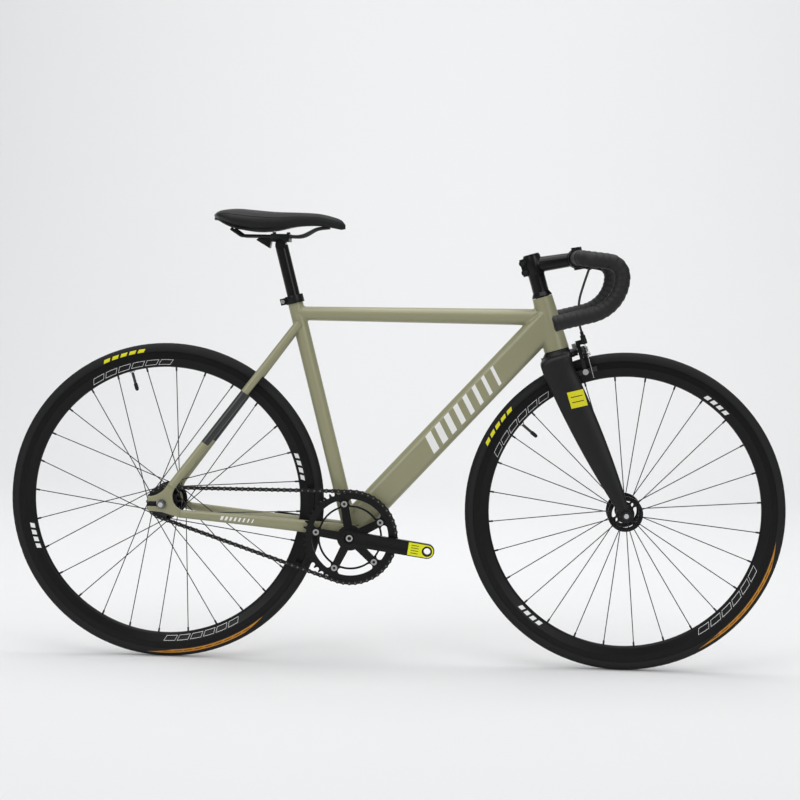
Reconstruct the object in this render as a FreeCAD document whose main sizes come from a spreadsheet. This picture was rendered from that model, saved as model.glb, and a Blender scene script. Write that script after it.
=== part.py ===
import FreeCAD, Part
import math
import os
import re

import Sketcher
from FreeCAD import Placement, Rotation, Vector

# A fixed gear track bicycle, standing on both wheels.
# +X points forward, +Y to the rider's left, +Z up; the origin is on the floor midway between the axles.
# The drive side is the right side, at negative Y. Lengths are in millimetres, angles in degrees.
SIZES = {
    # Layout of the frame
    "wheel_base": 971.0,
    "bracket_drop": 63.0,
    "seat_angle": 75.4,
    "head_angle": 73.5,
    "fork_rake": 48.0,
    "fork_length": 367.0,
    # Clearances
    "running_gap": 0.05,
    "seat_gap": 0.05,
    "bolt_gap": 0.3,
    "face_gap": 0.5,
    "bead_gap": 0.3,
    "tube_gap": 0.5,
    "clamp_split": 0.6,
    "clamp_slot": 1.6,
    # Frame tubes
    "head_tube_length": 114.0,
    "head_tube_top_radius": 21.2,
    "head_tube_bottom_radius": 26.6,
    "head_tube_wall": 2.6,
    "seat_tube_length": 520.0,
    "seat_tube_radius": 15.9,
    "top_tube_seat_radius": 14.6,
    "top_tube_head_radius": 17.4,
    "top_tube_wall": 1.5,
    "top_tube_seat_distance": 483.0,
    "top_tube_head_distance": 70.0,
    "down_tube_height": 62.0,
    "down_tube_width": 44.0,
    "down_tube_corner": 16.0,
    "down_tube_wall": 1.6,
    "down_tube_bracket_rise": 18.0,
    "down_tube_head_distance": 64.0,
    "bracket_shell_radius": 21.5,
    "bracket_shell_width": 68.0,
    "bracket_bore_radius": 17.4,
    # Rear stays and track ends
    "stay_wall": 1.6,
    "chainstay_front_height": 30.0,
    "chainstay_rear_height": 17.0,
    "chainstay_width": 15.0,
    "chainstay_rise": 10.0,
    "chainstay_front_offset": 21.0,
    "chainstay_waist_offset": 27.5,
    "seatstay_height": 17.5,
    "seatstay_width": 14.0,
    "seatstay_top_distance": 463.0,
    "seatstay_top_offset": 14.0,
    "chainstay_setback": 6.0,
    "chainstay_end_reach": 40.0,
    "chainstay_end_drop": 20.0,
    "seatstay_end_reach": 20.0,
    "seatstay_end_rise": 38.0,
    "rear_spacing": 120.0,
    "track_end_thickness": 7.0,
    "track_slot_length": 30.0,
    "track_jaw_height": 15.0,
    "track_jaw_swell": 2.0,
    "track_hollow_radius": 30.0,
    "track_brow_radius": 50.0,
    # Seat clamp
    "seat_clamp_height": 17.0,
    "seat_clamp_wall": 3.6,
    "seat_clamp_ear": 11.0,
    "seat_clamp_ear_height": 14.0,
    "seat_clamp_overlap": 2.0,
    "seat_clamp_overhang": 2.0,
    "seat_clamp_bolt_radius": 2.5,
    # Headset
    "headset_gap": 0.8,
    "bearing_height": 7.0,
    "upper_bearing_radius": 18.4,
    "lower_bearing_radius": 23.4,
    "cover_height": 14.0,
    "spacer_height": 17.0,
    "spacer_wall": 2.6,
    # Fork
    "steerer_top_radius": 14.3,
    "steerer_bottom_radius": 15.9,
    "steerer_bore_radius": 11.6,
    "steerer_short": 3.0,
    "crown_top_radius": 25.4,
    "crown_depth": 60.0,
    "crown_width": 84.0,
    "crown_height": 34.0,
    "blade_top_drop": 22.0,
    "blade_top_setback": 11.0,
    "blade_top_depth": 62.0,
    "blade_shoulder_drop": 88.0,
    "blade_shoulder_depth": 64.0,
    "blade_tip_depth": 23.0,
    "blade_top_thickness": 22.0,
    "blade_tip_thickness": 12.0,
    "blade_top_offset": 31.0,
    "fork_tip_radius": 13.0,
    "fork_tip_thickness": 7.0,
    "front_spacing": 100.0,
    "tyre_room": 6.0,
    "crown_seat_inset": 4.0,
    # Stem and handlebar
    "stem_length": 90.0,
    "stem_drop_angle": 6.5,
    "stem_clamp_height": 40.0,
    "stem_clamp_radius": 18.6,
    "stem_ear_depth": 8.0,
    "stem_ear_width": 20.0,
    "stem_ear_height": 37.0,
    "stem_ear_overlap": 3.0,
    "pinch_bolt_setback": 2.0,
    "stem_neck_radius": 16.4,
    "stem_nose_radius": 14.6,
    "bar_clamp_radius": 20.6,
    "bar_clamp_width": 42.0,
    "bar_clamp_height": 47.0,
    "bar_clamp_depth": 16.0,
    "faceplate_gap": 1.0,
    "stem_bolt_radius": 2.5,
    "top_cap_height": 4.0,
    "top_cap_radius": 17.1,
    "top_cap_bevel": 2.5,
    "top_cap_socket_radius": 4.0,
    "bar_centre_radius": 15.9,
    "bar_radius": 11.9,
    "bar_wall": 2.0,
    "bar_half_width": 200.0,
    "bar_bulge": 76.0,
    "bar_taper": 24.0,
    "bar_bend_radius": 35.0,
    "bar_ramp_angle": 6.0,
    "bar_ramp_length": 21.5,
    "bar_hook_radius": 31.5,
    "bar_drop_radius": 78.0,
    "bar_drop_end_angle": 14.4,
    "bar_tail_length": 73.0,
    "tape_thickness": 4.3,
    "tape_setback": 4.0,
    "plug_thickness": 5.0,
    # Brake lever on the bar top
    "lever_place": 66.0,
    "lever_clamp_width": 16.0,
    "lever_clamp_wall": 3.4,
    "lever_angle": 12.9,
    "lever_plane_drop": 11.3,
    "lever_pivot_reach": 21.0,
    "lever_pivot_inset": 17.0,
    "lever_pin_radius": 2.5,
    "lever_hub_radius": 6.5,
    "lever_thickness": 5.0,
    "lever_cheek": 2.6,
    "lever_cable_arm": 9.5,
    "lever_elbow_reach": 31.0,
    "lever_elbow_span": 26.0,
    "lever_tip_reach": 46.0,
    "lever_tip_span": 88.0,
    "lever_elbow_radius": 5.2,
    "lever_blade_radius": 4.6,
    "lever_nose_radius": 4.5,
    "lever_nose_inset": 3.0,
    "lever_stop_span": 12.5,
    "lever_stop_root_radius": 5.0,
    "lever_stop_radius": 5.0,
    "lever_pull": 14.0,
    "lever_relief": 0.6,
    "barrel_setback": 4.0,
    "barrel_length": 11.0,
    "barrel_wall": 2.6,
    "housing_depth": 5.0,
    # Front brake caliper
    "brake_drop": 14.5,
    "brake_bolt_radius": 3.0,
    "brake_washer_radius": 9.0,
    "brake_yoke_start": 7.0,
    "brake_yoke_thickness": 8.0,
    "brake_nut_height": 5.0,
    "yoke_centre_radius": 8.0,
    "yoke_side_radius": 7.0,
    "caliper_arm_thickness": 8.0,
    "arm_side_pivot_radius": 8.0,
    "arm_centre_pivot_radius": 8.5,
    "arm_shoulder_radius": 7.0,
    "arm_elbow_radius": 6.5,
    "arm_foot_radius": 6.0,
    "arm_setout": 6.5,
    "right_shoulder_offset": 20.0,
    "right_elbow_drop": 14.0,
    "left_shoulder_drop": 7.0,
    "left_elbow_drop": 20.0,
    "side_pivot_offset": 20.0,
    "side_pivot_rise": 10.0,
    "cable_offset": 24.0,
    "adjuster_rise": 18.0,
    "adjuster_lug_wall": 1.6,
    "adjuster_lug_height": 10.0,
    "adjuster_web": 9.0,
    "adjuster_step": 1.0,
    "adjuster_grip": 8.0,
    "adjuster_length": 26.0,
    "adjuster_radius": 4.6,
    "adjuster_bore_radius": 2.6,
    "housing_radius": 2.5,
    "cable_radius": 0.8,
    "cable_tail": 52.0,
    "anchor_drop": 9.0,
    "anchor_setback": 3.6,
    "anchor_bolt_radius": 2.5,
    "anchor_head_radius": 4.0,
    "anchor_head_height": 3.5,
    "anchor_washer_radius": 6.0,
    "anchor_washer_thickness": 1.5,
    "shoe_drop": 44.0,
    "shoe_length": 50.0,
    "shoe_height": 10.0,
    "shoe_thickness": 7.5,
    "shoe_gap": 2.2,
    "shoe_stud_radius": 3.0,
    "shoe_nut_radius": 6.0,
    "shoe_nut_height": 3.5,
    "shoe_nut_seat": 5.5,
    # Wheels
    "bead_radius": 311.0,
    "tyre_height": 25.0,
    "tyre_width": 25.0,
    "tyre_casing": 2.6,
    "bead_width": 3.0,
    "tube_wall": 0.9,
    "rim_edge_height": 6.0,
    "rim_depth": 32.0,
    "rim_width": 25.0,
    "rim_hook": 1.7,
    "rim_wall": 1.5,
    "rim_nose_width": 15.0,
    "rim_nose_rise": 6.0,
    "rim_track_height": 13.0,
    "rim_bed_drop": 2.5,
    "rim_bed_bevel": 2.0,
    "spoke_count": 28.0,
    "spoke_radius": 1.0,
    "spoke_crosses": 3.0,
    "nipple_radius": 2.0,
    "nipple_length": 12.0,
    "nipple_seat": 3.0,
    "valve_radius": 3.0,
    "valve_length": 40.0,
    "front_valve_angle": 140.5,
    "rear_valve_angle": 106.0,
    "flange_radius": 37.0,
    "flange_thickness": 3.2,
    "spoke_circle_radius": 33.0,
    "hub_barrel_radius": 15.0,
    "hub_bore_radius": 8.0,
    "hub_bearing_radius": 13.0,
    "hub_bearing_width": 8.0,
    "window_inner_radius": 19.0,
    "window_outer_radius": 28.0,
    "window_half_angle": 31.0,
    "window_count": 4.0,
    "front_flange_offset": 35.0,
    "rear_flange_offset": 32.0,
    "axle_radius": 5.0,
    "axle_cone_radius": 8.5,
    "axle_cone_length": 5.0,
    "axle_overhang": 2.0,
    "nut_height": 10.0,
    "nut_across_flats": 15.0,
    "washer_radius": 10.0,
    "washer_thickness": 1.8,
    # Drive
    "chain_pitch": 12.7,
    "chain_links": 96.0,
    "chainring_teeth": 48.0,
    "cog_teeth": 16.0,
    "chain_line": 44.0,
    "roller_radius": 3.88,
    "pin_radius": 1.8,
    "chain_inner_width": 3.4,
    "chain_plate": 1.1,
    "chain_plate_radius": 4.2,
    "chain_play": 0.15,
    "pin_proud": 0.4,
    "tooth_width": 3.0,
    "tooth_seat_gap": 0.2,
    "tooth_height": 3.2,
    "tooth_flank": 2.2,
    "chainring_bore_radius": 64.0,
    "chainring_slot_inner": 68.0,
    "chainring_slot_outer": 81.0,
    "chainring_slot_half_angle": 25.0,
    "bolt_circle_radius": 72.0,
    "chainring_bolt_radius": 4.0,
    "chainring_bolt_head_radius": 6.5,
    "chainring_bolt_head_height": 1.6,
    "chainring_bolt_socket_radius": 3.0,
    "chainring_bolt_socket_depth": 2.6,
    "cog_bore_radius": 17.4,
    "lockring_height": 4.0,
    "lockring_rim": 5.0,
    "crank_length": 165.0,
    "crank_angle": -8.0,
    "crank_hub_radius": 17.0,
    "crank_root_radius": 15.5,
    "crank_end_radius": 15.3,
    "crank_thickness": 12.0,
    "crank_inner_face": 51.0,
    "crank_boss_face": 38.0,
    "spider_arms": 5.0,
    "spider_thickness": 5.5,
    "spider_root_half_width": 9.5,
    "spider_tab_radius": 8.0,
    "spider_hub_radius": 27.0,
    "spider_overlap": 1.0,
    "pedal_hole_radius": 7.14,
    "spindle_radius": 8.5,
    "spindle_end_radius": 7.2,
    "spindle_shoulder": 1.0,
    "crank_bolt_radius": 10.5,
    "crank_bolt_height": 3.0,
    "crank_bolt_dome": 1.0,
    "crank_bolt_socket_radius": 4.0,
    "cup_flange_radius": 21.0,
    "cup_flange_width": 2.5,
    # Seatpost and saddle
    "seatpost_radius": 13.6,
    "seatpost_wall": 2.4,
    "seatpost_length": 300.0,
    "saddle_pivot_distance": 632.0,
    "barrel_radius": 11.0,
    "barrel_width": 32.0,
    "rail_radius": 3.5,
    "rail_spread": 22.0,
    "rail_rise": 16.5,
    "clamp_length": 38.0,
    "clamp_width": 56.0,
    "clamp_plate": 5.0,
    "clamp_bolt_radius": 2.5,
    "clamp_bolt_spacing": 15.0,
    "yoke_width": 28.0,
    "yoke_length": 32.4,
    "yoke_root": 5.5,
    "yoke_inset": 2.1,
    "yoke_bevel": 6.0,
    "yoke_foot": 4.0,
    "yoke_drop": 23.0,
    "yoke_gap": 1.4,
    "saddle_length": 274.0,
    "saddle_half_width": 69.0,
    "saddle_tail_reach": 139.0,
    "saddle_height": 57.0,
    "saddle_base_thickness": 4.0,
    "saddle_base_inset": 2.0,
    "saddle_base_flare": 3.0,
    "rail_tail_rise": 15.0,
    "rail_tail_flare": 8.0,
    "rail_nose_rise": 20.5,
}

doc = FreeCAD.newDocument("track_bicycle")
sheet = doc.addObject("Spreadsheet::Sheet", "Sizes")
for row, (alias, number) in enumerate(SIZES.items(), start=1):
    sheet.set(f"A{row}", alias)
    sheet.set(f"B{row}", str(number))
    sheet.setAlias(f"B{row}", alias)
doc.recompute()

SIZE_NAME = re.compile(r"\b[a-z]+_\w+\b")
SUB_PARTS = []
FORWARD = Vector(1, 0, 0)
LEFT = Vector(0, 1, 0)
UP = Vector(0, 0, 1)
SIDES = {"right": -1, "left": 1}
# How far a cutting shape runs past the face that it opens
OVERCUT = 1.0
# A slot's end arc against half its width, so that the arc stays under a half circle
END_EASE = 1.02


# Reading the sheet and binding sizes to it

class SheetSizes:
    """The sheet's sizes as plain numbers, by name."""

    def __getattr__(self, alias):
        return float(sheet.get(alias))


size = SheetSizes()


def linked(expression):
    """Point each size's name in an expression at the sheet."""
    return SIZE_NAME.sub(lambda match: "Sizes." + match.group(), expression)


def value(expression):
    """The number that an expression on the sheet's sizes comes to."""
    if isinstance(expression, str):
        return float(sheet.evalExpression(linked(expression)))
    return float(expression)


def bind(feature, prop, expression):
    """Bind a feature's size to the sheet, or set a worked-out number."""
    if isinstance(expression, str):
        feature.setExpression(prop, linked(expression))
    else:
        setattr(feature, prop, expression)


# Places

def axes(origin, along, across):
    """A placement at origin with local Z along one direction and local X along another."""
    return Placement(origin, Rotation(across, Vector(), along, "ZXY"))


def crosswise(origin):
    """A placement whose local Z runs to the left, as the axles do."""
    return Placement(origin, Rotation(FORWARD, -90))


def beside(x, y, z, turn=0):
    """A placement for a plate drawn as seen from the right, thickening towards the right."""
    return Placement(Vector(x, y, z), Rotation(FORWARD, 90) * Rotation(UP, turn))


def shifted(where, x, y, z):
    """A placement moved by a local step."""
    return where * Placement(Vector(x, y, z), Rotation())


def tilted(degrees):
    """A unit vector in the plane of the wheels, turned up from forward."""
    angle = math.radians(degrees)
    return Vector(math.cos(angle), 0, math.sin(angle))


# Solids

def cylinder(name, radius, length, where):
    feature = doc.addObject("Part::Cylinder", name)
    bind(feature, "Radius", radius)
    bind(feature, "Height", length)
    feature.Placement = where
    return feature


def cone(name, start_radius, end_radius, length, where):
    feature = doc.addObject("Part::Cone", name)
    bind(feature, "Radius1", start_radius)
    bind(feature, "Radius2", end_radius)
    bind(feature, "Height", length)
    feature.Placement = where
    return feature


def box(name, length, width, height, where):
    """A box centred on its placement."""
    feature = doc.addObject("Part::Box", name)
    bind(feature, "Length", length)
    bind(feature, "Width", width)
    bind(feature, "Height", height)
    feature.Placement = shifted(where, -value(length) / 2, -value(width) / 2, -value(height) / 2)
    return feature


def torus(name, ring_radius, tube_radius, where):
    feature = doc.addObject("Part::Torus", name)
    bind(feature, "Radius1", ring_radius)
    bind(feature, "Radius2", tube_radius)
    feature.Placement = where
    return feature


def fuse(name, *shapes):
    feature = doc.addObject("Part::MultiFuse", name)
    feature.Shapes = list(shapes)
    return feature


def cut(name, base, *tools):
    feature = doc.addObject("Part::Cut", name)
    feature.Base = base
    feature.Tool = tools[0] if len(tools) == 1 else fuse(name + "_spaces", *tools)
    return feature


def group(name, *shapes):
    feature = doc.addObject("Part::Compound", name)
    feature.Links = list(shapes)
    return feature


def made(name, shape):
    """A feature that holds a shape worked out here from the sheet's sizes."""
    feature = doc.addObject("Part::Feature", name)
    feature.Shape = shape
    return feature


def loft(name, sections):
    feature = doc.addObject("Part::Loft", name)
    feature.Sections = sections
    feature.Solid = True
    return feature


def ellipse(name, half_depth, half_width, where):
    """An oval section, deep along local X; the longer half always leads."""
    turned_round = value(half_depth) < value(half_width)
    feature = doc.addObject("Part::Ellipse", name)
    bind(feature, "MajorRadius", half_width if turned_round else half_depth)
    bind(feature, "MinorRadius", half_depth if turned_round else half_width)
    quarter = Placement(Vector(), Rotation(UP, 90 if turned_round else 0))
    feature.Placement = where * quarter
    return feature


def keep(label, feature):
    """Name a finished sub-part."""
    feature.Label = label
    SUB_PARTS.append(feature)
    return feature


# Sketched bodies

def add_edge(sketch, start, end, radius):
    """Draw one edge of an outline and return its two ends; a radius bends it to the left if positive."""
    if radius is None:
        edge = sketch.addGeometry(Part.LineSegment(start, end), False)
        return (edge, 1), (edge, 2)
    reach = abs(value(radius))
    chord = end - start
    left_hand = Vector(-chord.y, chord.x, 0).normalize()
    sagitta_arm = math.sqrt(max(reach ** 2 - chord.Length ** 2 / 4, 0))
    bends_left = value(radius) > 0
    centre = (start + end) / 2 + left_hand * (sagitta_arm if bends_left else -sagitta_arm)
    first, last = (start, end) if bends_left else (end, start)
    angles = [math.atan2(point.y - centre.y, point.x - centre.x) for point in (first, last)]
    arc = Part.ArcOfCircle(Part.Circle(centre, UP, reach), *angles)
    edge = sketch.addGeometry(arc, False)
    constraint = sketch.addConstraint(Sketcher.Constraint("Radius", edge, reach))
    if isinstance(radius, str):
        sketch.setExpression(f"Constraints[{constraint}]", f"abs({linked(radius)})")
    return ((edge, 1), (edge, 2)) if bends_left else ((edge, 2), (edge, 1))


def fix_point(sketch, end, corner):
    """Tie a point of a sketch to its two distances from the sketch's origin."""
    for kind, distance in zip(("DistanceX", "DistanceY"), corner):
        constraint = sketch.addConstraint(Sketcher.Constraint(kind, -1, 1, *end, value(distance)))
        if isinstance(distance, str):
            sketch.setExpression(f"Constraints[{constraint}]", linked(distance))


def draw_loop(sketch, corners):
    """Draw a closed outline; a corner's third value is the radius of the edge that starts there."""
    points = [Vector(value(corner[0]), value(corner[1]), 0) for corner in corners]
    ends = []
    for index, corner in enumerate(corners):
        radius = corner[2] if len(corner) > 2 else None
        ends.append(add_edge(sketch, points[index], points[(index + 1) % len(points)], radius))
    for index, corner in enumerate(corners):
        start = ends[index][0]
        sketch.addConstraint(Sketcher.Constraint("Coincident", *ends[index - 1][1], *start))
        fix_point(sketch, start, corner)


def draw_circle(sketch, x, y, radius):
    circle = Part.Circle(Vector(value(x), value(y), 0), UP, value(radius))
    edge = sketch.addGeometry(circle, False)
    fix_point(sketch, (edge, 3), (x, y))
    constraint = sketch.addConstraint(Sketcher.Constraint("Radius", edge, value(radius)))
    if isinstance(radius, str):
        sketch.setExpression(f"Constraints[{constraint}]", linked(radius))


def sketch_on(body, name, role, loops=(), circles=()):
    """A sketch on one of a body's own origin planes."""
    sketch = body.newObject("Sketcher::SketchObject", name)
    plane = next(feature for feature in body.Origin.OriginFeatures if feature.Role == role)
    sketch.AttachmentSupport = [(plane, "")]
    sketch.MapMode = "FlatFace"
    for loop in loops:
        draw_loop(sketch, loop)
    for circle in circles:
        draw_circle(sketch, *circle)
    return sketch


def turned(name, where, *loops):
    """A turned body: outlines of (radius, height) swept round local Z."""
    body = doc.addObject("PartDesign::Body", name)
    sketch = sketch_on(body, name + "_outline", "XZ_Plane", loops)
    turn = body.newObject("PartDesign::Revolution", name + "_turn")
    turn.Profile = sketch
    turn.ReferenceAxis = (sketch, ["V_Axis"])
    turn.Angle = 360
    body.Placement = where
    return body


def ring(name, inner, outer, bottom, top, where):
    """A turned ring of square section."""
    return turned(name, where, [(inner, bottom), (outer, bottom), (outer, top), (inner, top)])


def plate(name, where, thickness, loops=(), circles=()):
    """A flat body: outlines padded along local Z."""
    body = doc.addObject("PartDesign::Body", name)
    pad = body.newObject("PartDesign::Pad", name + "_pad")
    pad.Profile = sketch_on(body, name + "_outline", "XY_Plane", loops, circles)
    bind(pad, "Length", thickness)
    body.Placement = where
    return body


def pocket_round(body, name, count, loops=(), circles=(), reverse=False):
    """Cut an outline right through one side of a body and repeat it round local Z."""
    doc.recompute()
    before = body.Shape.Volume
    pocket = body.newObject("PartDesign::Pocket", name)
    pocket.Profile = sketch_on(body, name + "_outline", "XY_Plane", loops, circles)
    pocket.Type = "ThroughAll"
    pocket.Reversed = reverse
    doc.recompute()
    if not pocket.Shape.Volume < before:
        raise RuntimeError(name + " cuts nothing")
    pattern = body.newObject("PartDesign::PolarPattern", name + "_round")
    pattern.Originals = [pocket]
    pattern.Axis = (pocket.Profile[0], ["N_Axis"])
    pattern.Angle = 360
    bind(pattern, "Occurrences", count)
    body.Tip = pattern
    return body


def around(radius, degrees):
    """A point on a circle about a sketch's origin."""
    angle = math.radians(degrees)
    return radius * math.cos(angle), radius * math.sin(angle)


def link_loop(start, start_radius, end, end_radius):
    """The outline of a tapered link with two round ends."""
    span = Vector(end[0] - start[0], end[1] - start[1], 0)
    heading = math.degrees(math.atan2(span.y, span.x))
    lean = math.degrees(math.acos((start_radius - end_radius) / span.Length))

    def on_rim(centre, radius, degrees):
        step = around(radius, degrees)
        return centre[0] + step[0], centre[1] + step[1]

    return [
        (*on_rim(start, start_radius, heading - lean),),
        (*on_rim(end, end_radius, heading - lean), end_radius),
        (*on_rim(end, end_radius, heading), end_radius),
        (*on_rim(end, end_radius, heading + lean),),
        (*on_rim(start, start_radius, heading + lean), start_radius),
        (*on_rim(start, start_radius, heading + 180), start_radius),
    ]


def slot_loop(inner, outer, first, last):
    """The outline of a slot curved about a sketch's origin, with round ends at two angles."""
    cap = (outer - inner) / 2 * END_EASE
    return [
        (*around(inner, last), -inner),
        (*around(inner, first), cap),
        (*around(outer, first), outer),
        (*around(outer, last), cap),
    ]


def rounded_loop(half_depth, half_width, corner):
    """A rectangle with round corners about a sketch's origin, sized by expressions."""
    depth_flat = f"({half_depth} - ({corner}))"
    width_flat = f"({half_width} - ({corner}))"
    return [
        (f"-{depth_flat}", f"-({half_width})"),
        (depth_flat, f"-({half_width})", corner),
        (half_depth, f"-{width_flat}"),
        (half_depth, width_flat, corner),
        (depth_flat, half_width),
        (f"-{depth_flat}", half_width, corner),
        (f"-({half_depth})", width_flat),
        (f"-({half_depth})", f"-{width_flat}", corner),
    ]


# Bent rods

def bent_wire(points, radii):
    """Straight runs joined by tangent arcs, one radius for each inner point."""
    edges = []
    start = points[0]
    for before, corner, after, radius in zip(points, points[1:], points[2:], radii):
        arriving = (corner - before).normalize()
        leaving = (after - corner).normalize()
        turn = arriving.getAngle(leaving)
        reach = radius * math.tan(turn / 2)
        first = corner - arriving * reach
        last = corner + leaving * reach
        inward = (leaving - arriving).normalize()
        middle = corner + inward * radius * (1 / math.cos(turn / 2) - 1)
        if (first - start).Length > 1e-6:
            edges.append(Part.LineSegment(start, first).toShape())
        edges.append(Part.Arc(first, middle, last).toShape())
        start = last
    edges.append(Part.LineSegment(start, points[-1]).toShape())
    return Part.Wire(edges)


def rod(wire, radius):
    """A round rod swept along a wire."""
    first = wire.OrderedEdges[0]
    start = first.valueAt(first.FirstParameter)
    heading = first.tangentAt(first.FirstParameter)
    section = Part.Wire(Part.Circle(start, heading, radius).toShape())
    return wire.makePipeShell([section], True, False)


# Layout: axles, axes and the chain's geometry

def pitch_radius(teeth):
    return size.chain_pitch / (2 * math.sin(math.pi / teeth))


ring_pitch_radius = pitch_radius(size.chainring_teeth)
cog_pitch_radius = pitch_radius(size.cog_teeth)


def chain_wrap(centres):
    """Wrap angles on ring and cog, tangent length and tangent slope for a distance of centres."""
    lean = math.asin((ring_pitch_radius - cog_pitch_radius) / centres)
    return math.pi + 2 * lean, math.pi - 2 * lean, centres * math.cos(lean), lean


def chain_pitches(centres):
    ring_wrap, cog_wrap, tangent, _ = chain_wrap(centres)
    wrapped = (ring_wrap * size.chainring_teeth + cog_wrap * size.cog_teeth) / (2 * math.pi)
    return wrapped + 2 * tangent / size.chain_pitch


def chain_centres():
    """The distance of centres at which the chain's whole links close tight, by halving."""
    low = ring_pitch_radius + cog_pitch_radius
    high = size.chain_links * size.chain_pitch
    for _ in range(80):
        middle = (low + high) / 2
        if chain_pitches(middle) < size.chain_links:
            low = middle
        else:
            high = middle
    return (low + high) / 2


tyre_radius = size.bead_radius + size.tyre_height
rim_inner_radius = size.bead_radius + size.rim_edge_height - size.rim_depth
centres = chain_centres()
rear_axle_point = Vector(-size.wheel_base / 2, 0, tyre_radius)
front_axle_point = Vector(size.wheel_base / 2, 0, tyre_radius)
stay_run = math.sqrt(centres ** 2 - size.bracket_drop ** 2)
bracket = rear_axle_point + Vector(stay_run, 0, -size.bracket_drop)

steer_up = tilted(180 - size.head_angle)
steer_forward = tilted(90 - size.head_angle)
seat_up = tilted(180 - size.seat_angle)
seat_forward = tilted(90 - size.seat_angle)
fork_foot = front_axle_point - steer_forward * size.fork_rake


def steer_at(along, forward=0.0, side=0.0):
    """A placement on the steering axis, measured up from the foot of the axle."""
    origin = fork_foot + steer_up * along + steer_forward * forward + LEFT * side
    return axes(origin, steer_up, steer_forward)


def seat_at(along, forward=0.0, side=0.0):
    """A placement on the seat tube's axis, measured up from the bottom bracket."""
    origin = bracket + seat_up * along + seat_forward * forward + LEFT * side
    return axes(origin, seat_up, seat_forward)


head_bottom = size.fork_length + size.headset_gap
head_top = head_bottom + size.head_tube_length
cover_bottom = head_top + size.headset_gap
stem_bottom = cover_bottom + size.cover_height + 2 * size.spacer_height
stem_top = stem_bottom + size.stem_clamp_height
stem_centre = steer_at((stem_bottom + stem_top) / 2).Base
stem_heading = 90 - size.head_angle - size.stem_drop_angle
stem_forward = tilted(stem_heading)
stem_upward = tilted(stem_heading + 90)
bar_centre = stem_centre + stem_forward * size.stem_length


# Frame tubes, each coped to the tubes that it meets

LONG = 2 * size.wheel_base
head_solid = cone("head_solid", "head_tube_bottom_radius", "head_tube_top_radius", "head_tube_length",
                  steer_at(head_bottom))
head_front = box("head_front", LONG, LONG, LONG, steer_at(head_bottom, LONG / 2))
seat_solid = cylinder("seat_solid", "seat_tube_radius", "seat_tube_length", seat_at(0))
seat_back = box("seat_back", LONG, LONG, LONG, seat_at(0, -LONG / 2))
bracket_solid = cylinder("bracket_solid", "bracket_shell_radius", "bracket_shell_width",
                         crosswise(bracket - LEFT * size.bracket_shell_width / 2))


def build_head_tube():
    seat_depth = "(bearing_height + seat_gap)"
    lower_seat = cylinder("lower_seat", "lower_bearing_radius + seat_gap", seat_depth, steer_at(head_bottom))
    upper_seat = cylinder("upper_seat", "upper_bearing_radius + seat_gap", seat_depth,
                          steer_at(head_top - value(seat_depth)))
    bore = cone("head_bore", "head_tube_bottom_radius - 2 * head_tube_wall",
                "head_tube_top_radius - 2 * head_tube_wall", "head_tube_length", steer_at(head_bottom))
    keep("head_tube", cut("head_tube_cut", head_solid, bore, lower_seat, upper_seat))


def build_seat_tube():
    bore = cylinder("seat_bore", "seatpost_radius + running_gap", "seat_tube_length", seat_at(0))
    keep("seat_tube", cut("seat_tube_cut", seat_solid, bracket_solid, bore))


def build_down_tube():
    start = bracket + UP * size.down_tube_bracket_rise
    end = steer_at(head_bottom + size.down_tube_head_distance).Base
    along = (end - start).normalize()
    where = axes(start, along, LEFT.cross(along))
    length = (end - start).Length
    outer = plate("down_solid", where, length, [
        rounded_loop("down_tube_height / 2", "down_tube_width / 2", "down_tube_corner")])
    inner = plate("down_bore", where, length, [
        rounded_loop("(down_tube_height / 2 - down_tube_wall)", "(down_tube_width / 2 - down_tube_wall)",
                     "(down_tube_corner - down_tube_wall)")])
    keep("down_tube", cut("down_tube_cut", outer, inner, head_solid, head_front, bracket_solid,
                          seat_solid, seat_back))
    return outer


def build_top_tube(down_solid):
    start = seat_at(size.top_tube_seat_distance).Base
    end = steer_at(head_bottom + size.top_tube_head_distance).Base
    along = end - start
    # The cone's own seam lies along the top of the tube, clear of the copes' corners
    where = axes(start, along, along.cross(LEFT))
    outer = cone("top_solid", "top_tube_seat_radius", "top_tube_head_radius", along.Length, where)
    inner = cone("top_bore", "top_tube_seat_radius - top_tube_wall", "top_tube_head_radius - top_tube_wall",
                 along.Length, where)
    keep("top_tube", cut("top_tube_cut", outer, inner, head_solid, head_front, seat_solid, down_solid))


def build_bracket_shell():
    bore = cylinder("bracket_bore", "bracket_bore_radius", "bracket_shell_width",
                    crosswise(bracket - LEFT * size.bracket_shell_width / 2))
    keep("bottom_bracket_shell", cut("bracket_shell_cut", bracket_solid, bore))


def build_stay(name, stations, along):
    """A hollow oval stay through stations of (centre, height, width), squared to one direction."""
    across = along.cross(LEFT)
    lofts = []
    for layer, wall in (("outer", "0"), ("inner", "stay_wall")):
        lofts.append(loft(f"{name}_{layer}", [
            ellipse(f"{name}_{layer}_{index}", f"{height} / 2 - {wall}", f"{width} / 2 - {wall}",
                    axes(centre, along, across))
            for index, (centre, height, width) in enumerate(stations)]))
    return lofts


stay_face_offset = (size.rear_spacing + size.track_end_thickness) / 2
chainstay_end = rear_axle_point + Vector(size.chainstay_end_reach, 0, -size.chainstay_end_drop)
seatstay_end = rear_axle_point + Vector(size.seatstay_end_reach, 0, size.seatstay_end_rise)
chainstay_start = bracket + Vector(-size.chainstay_setback, 0, size.chainstay_rise)
seatstay_start = seat_at(size.seatstay_top_distance).Base
chainstay_along = (chainstay_end - chainstay_start).normalize()
seatstay_along = (seatstay_end - seatstay_start).normalize()


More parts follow.
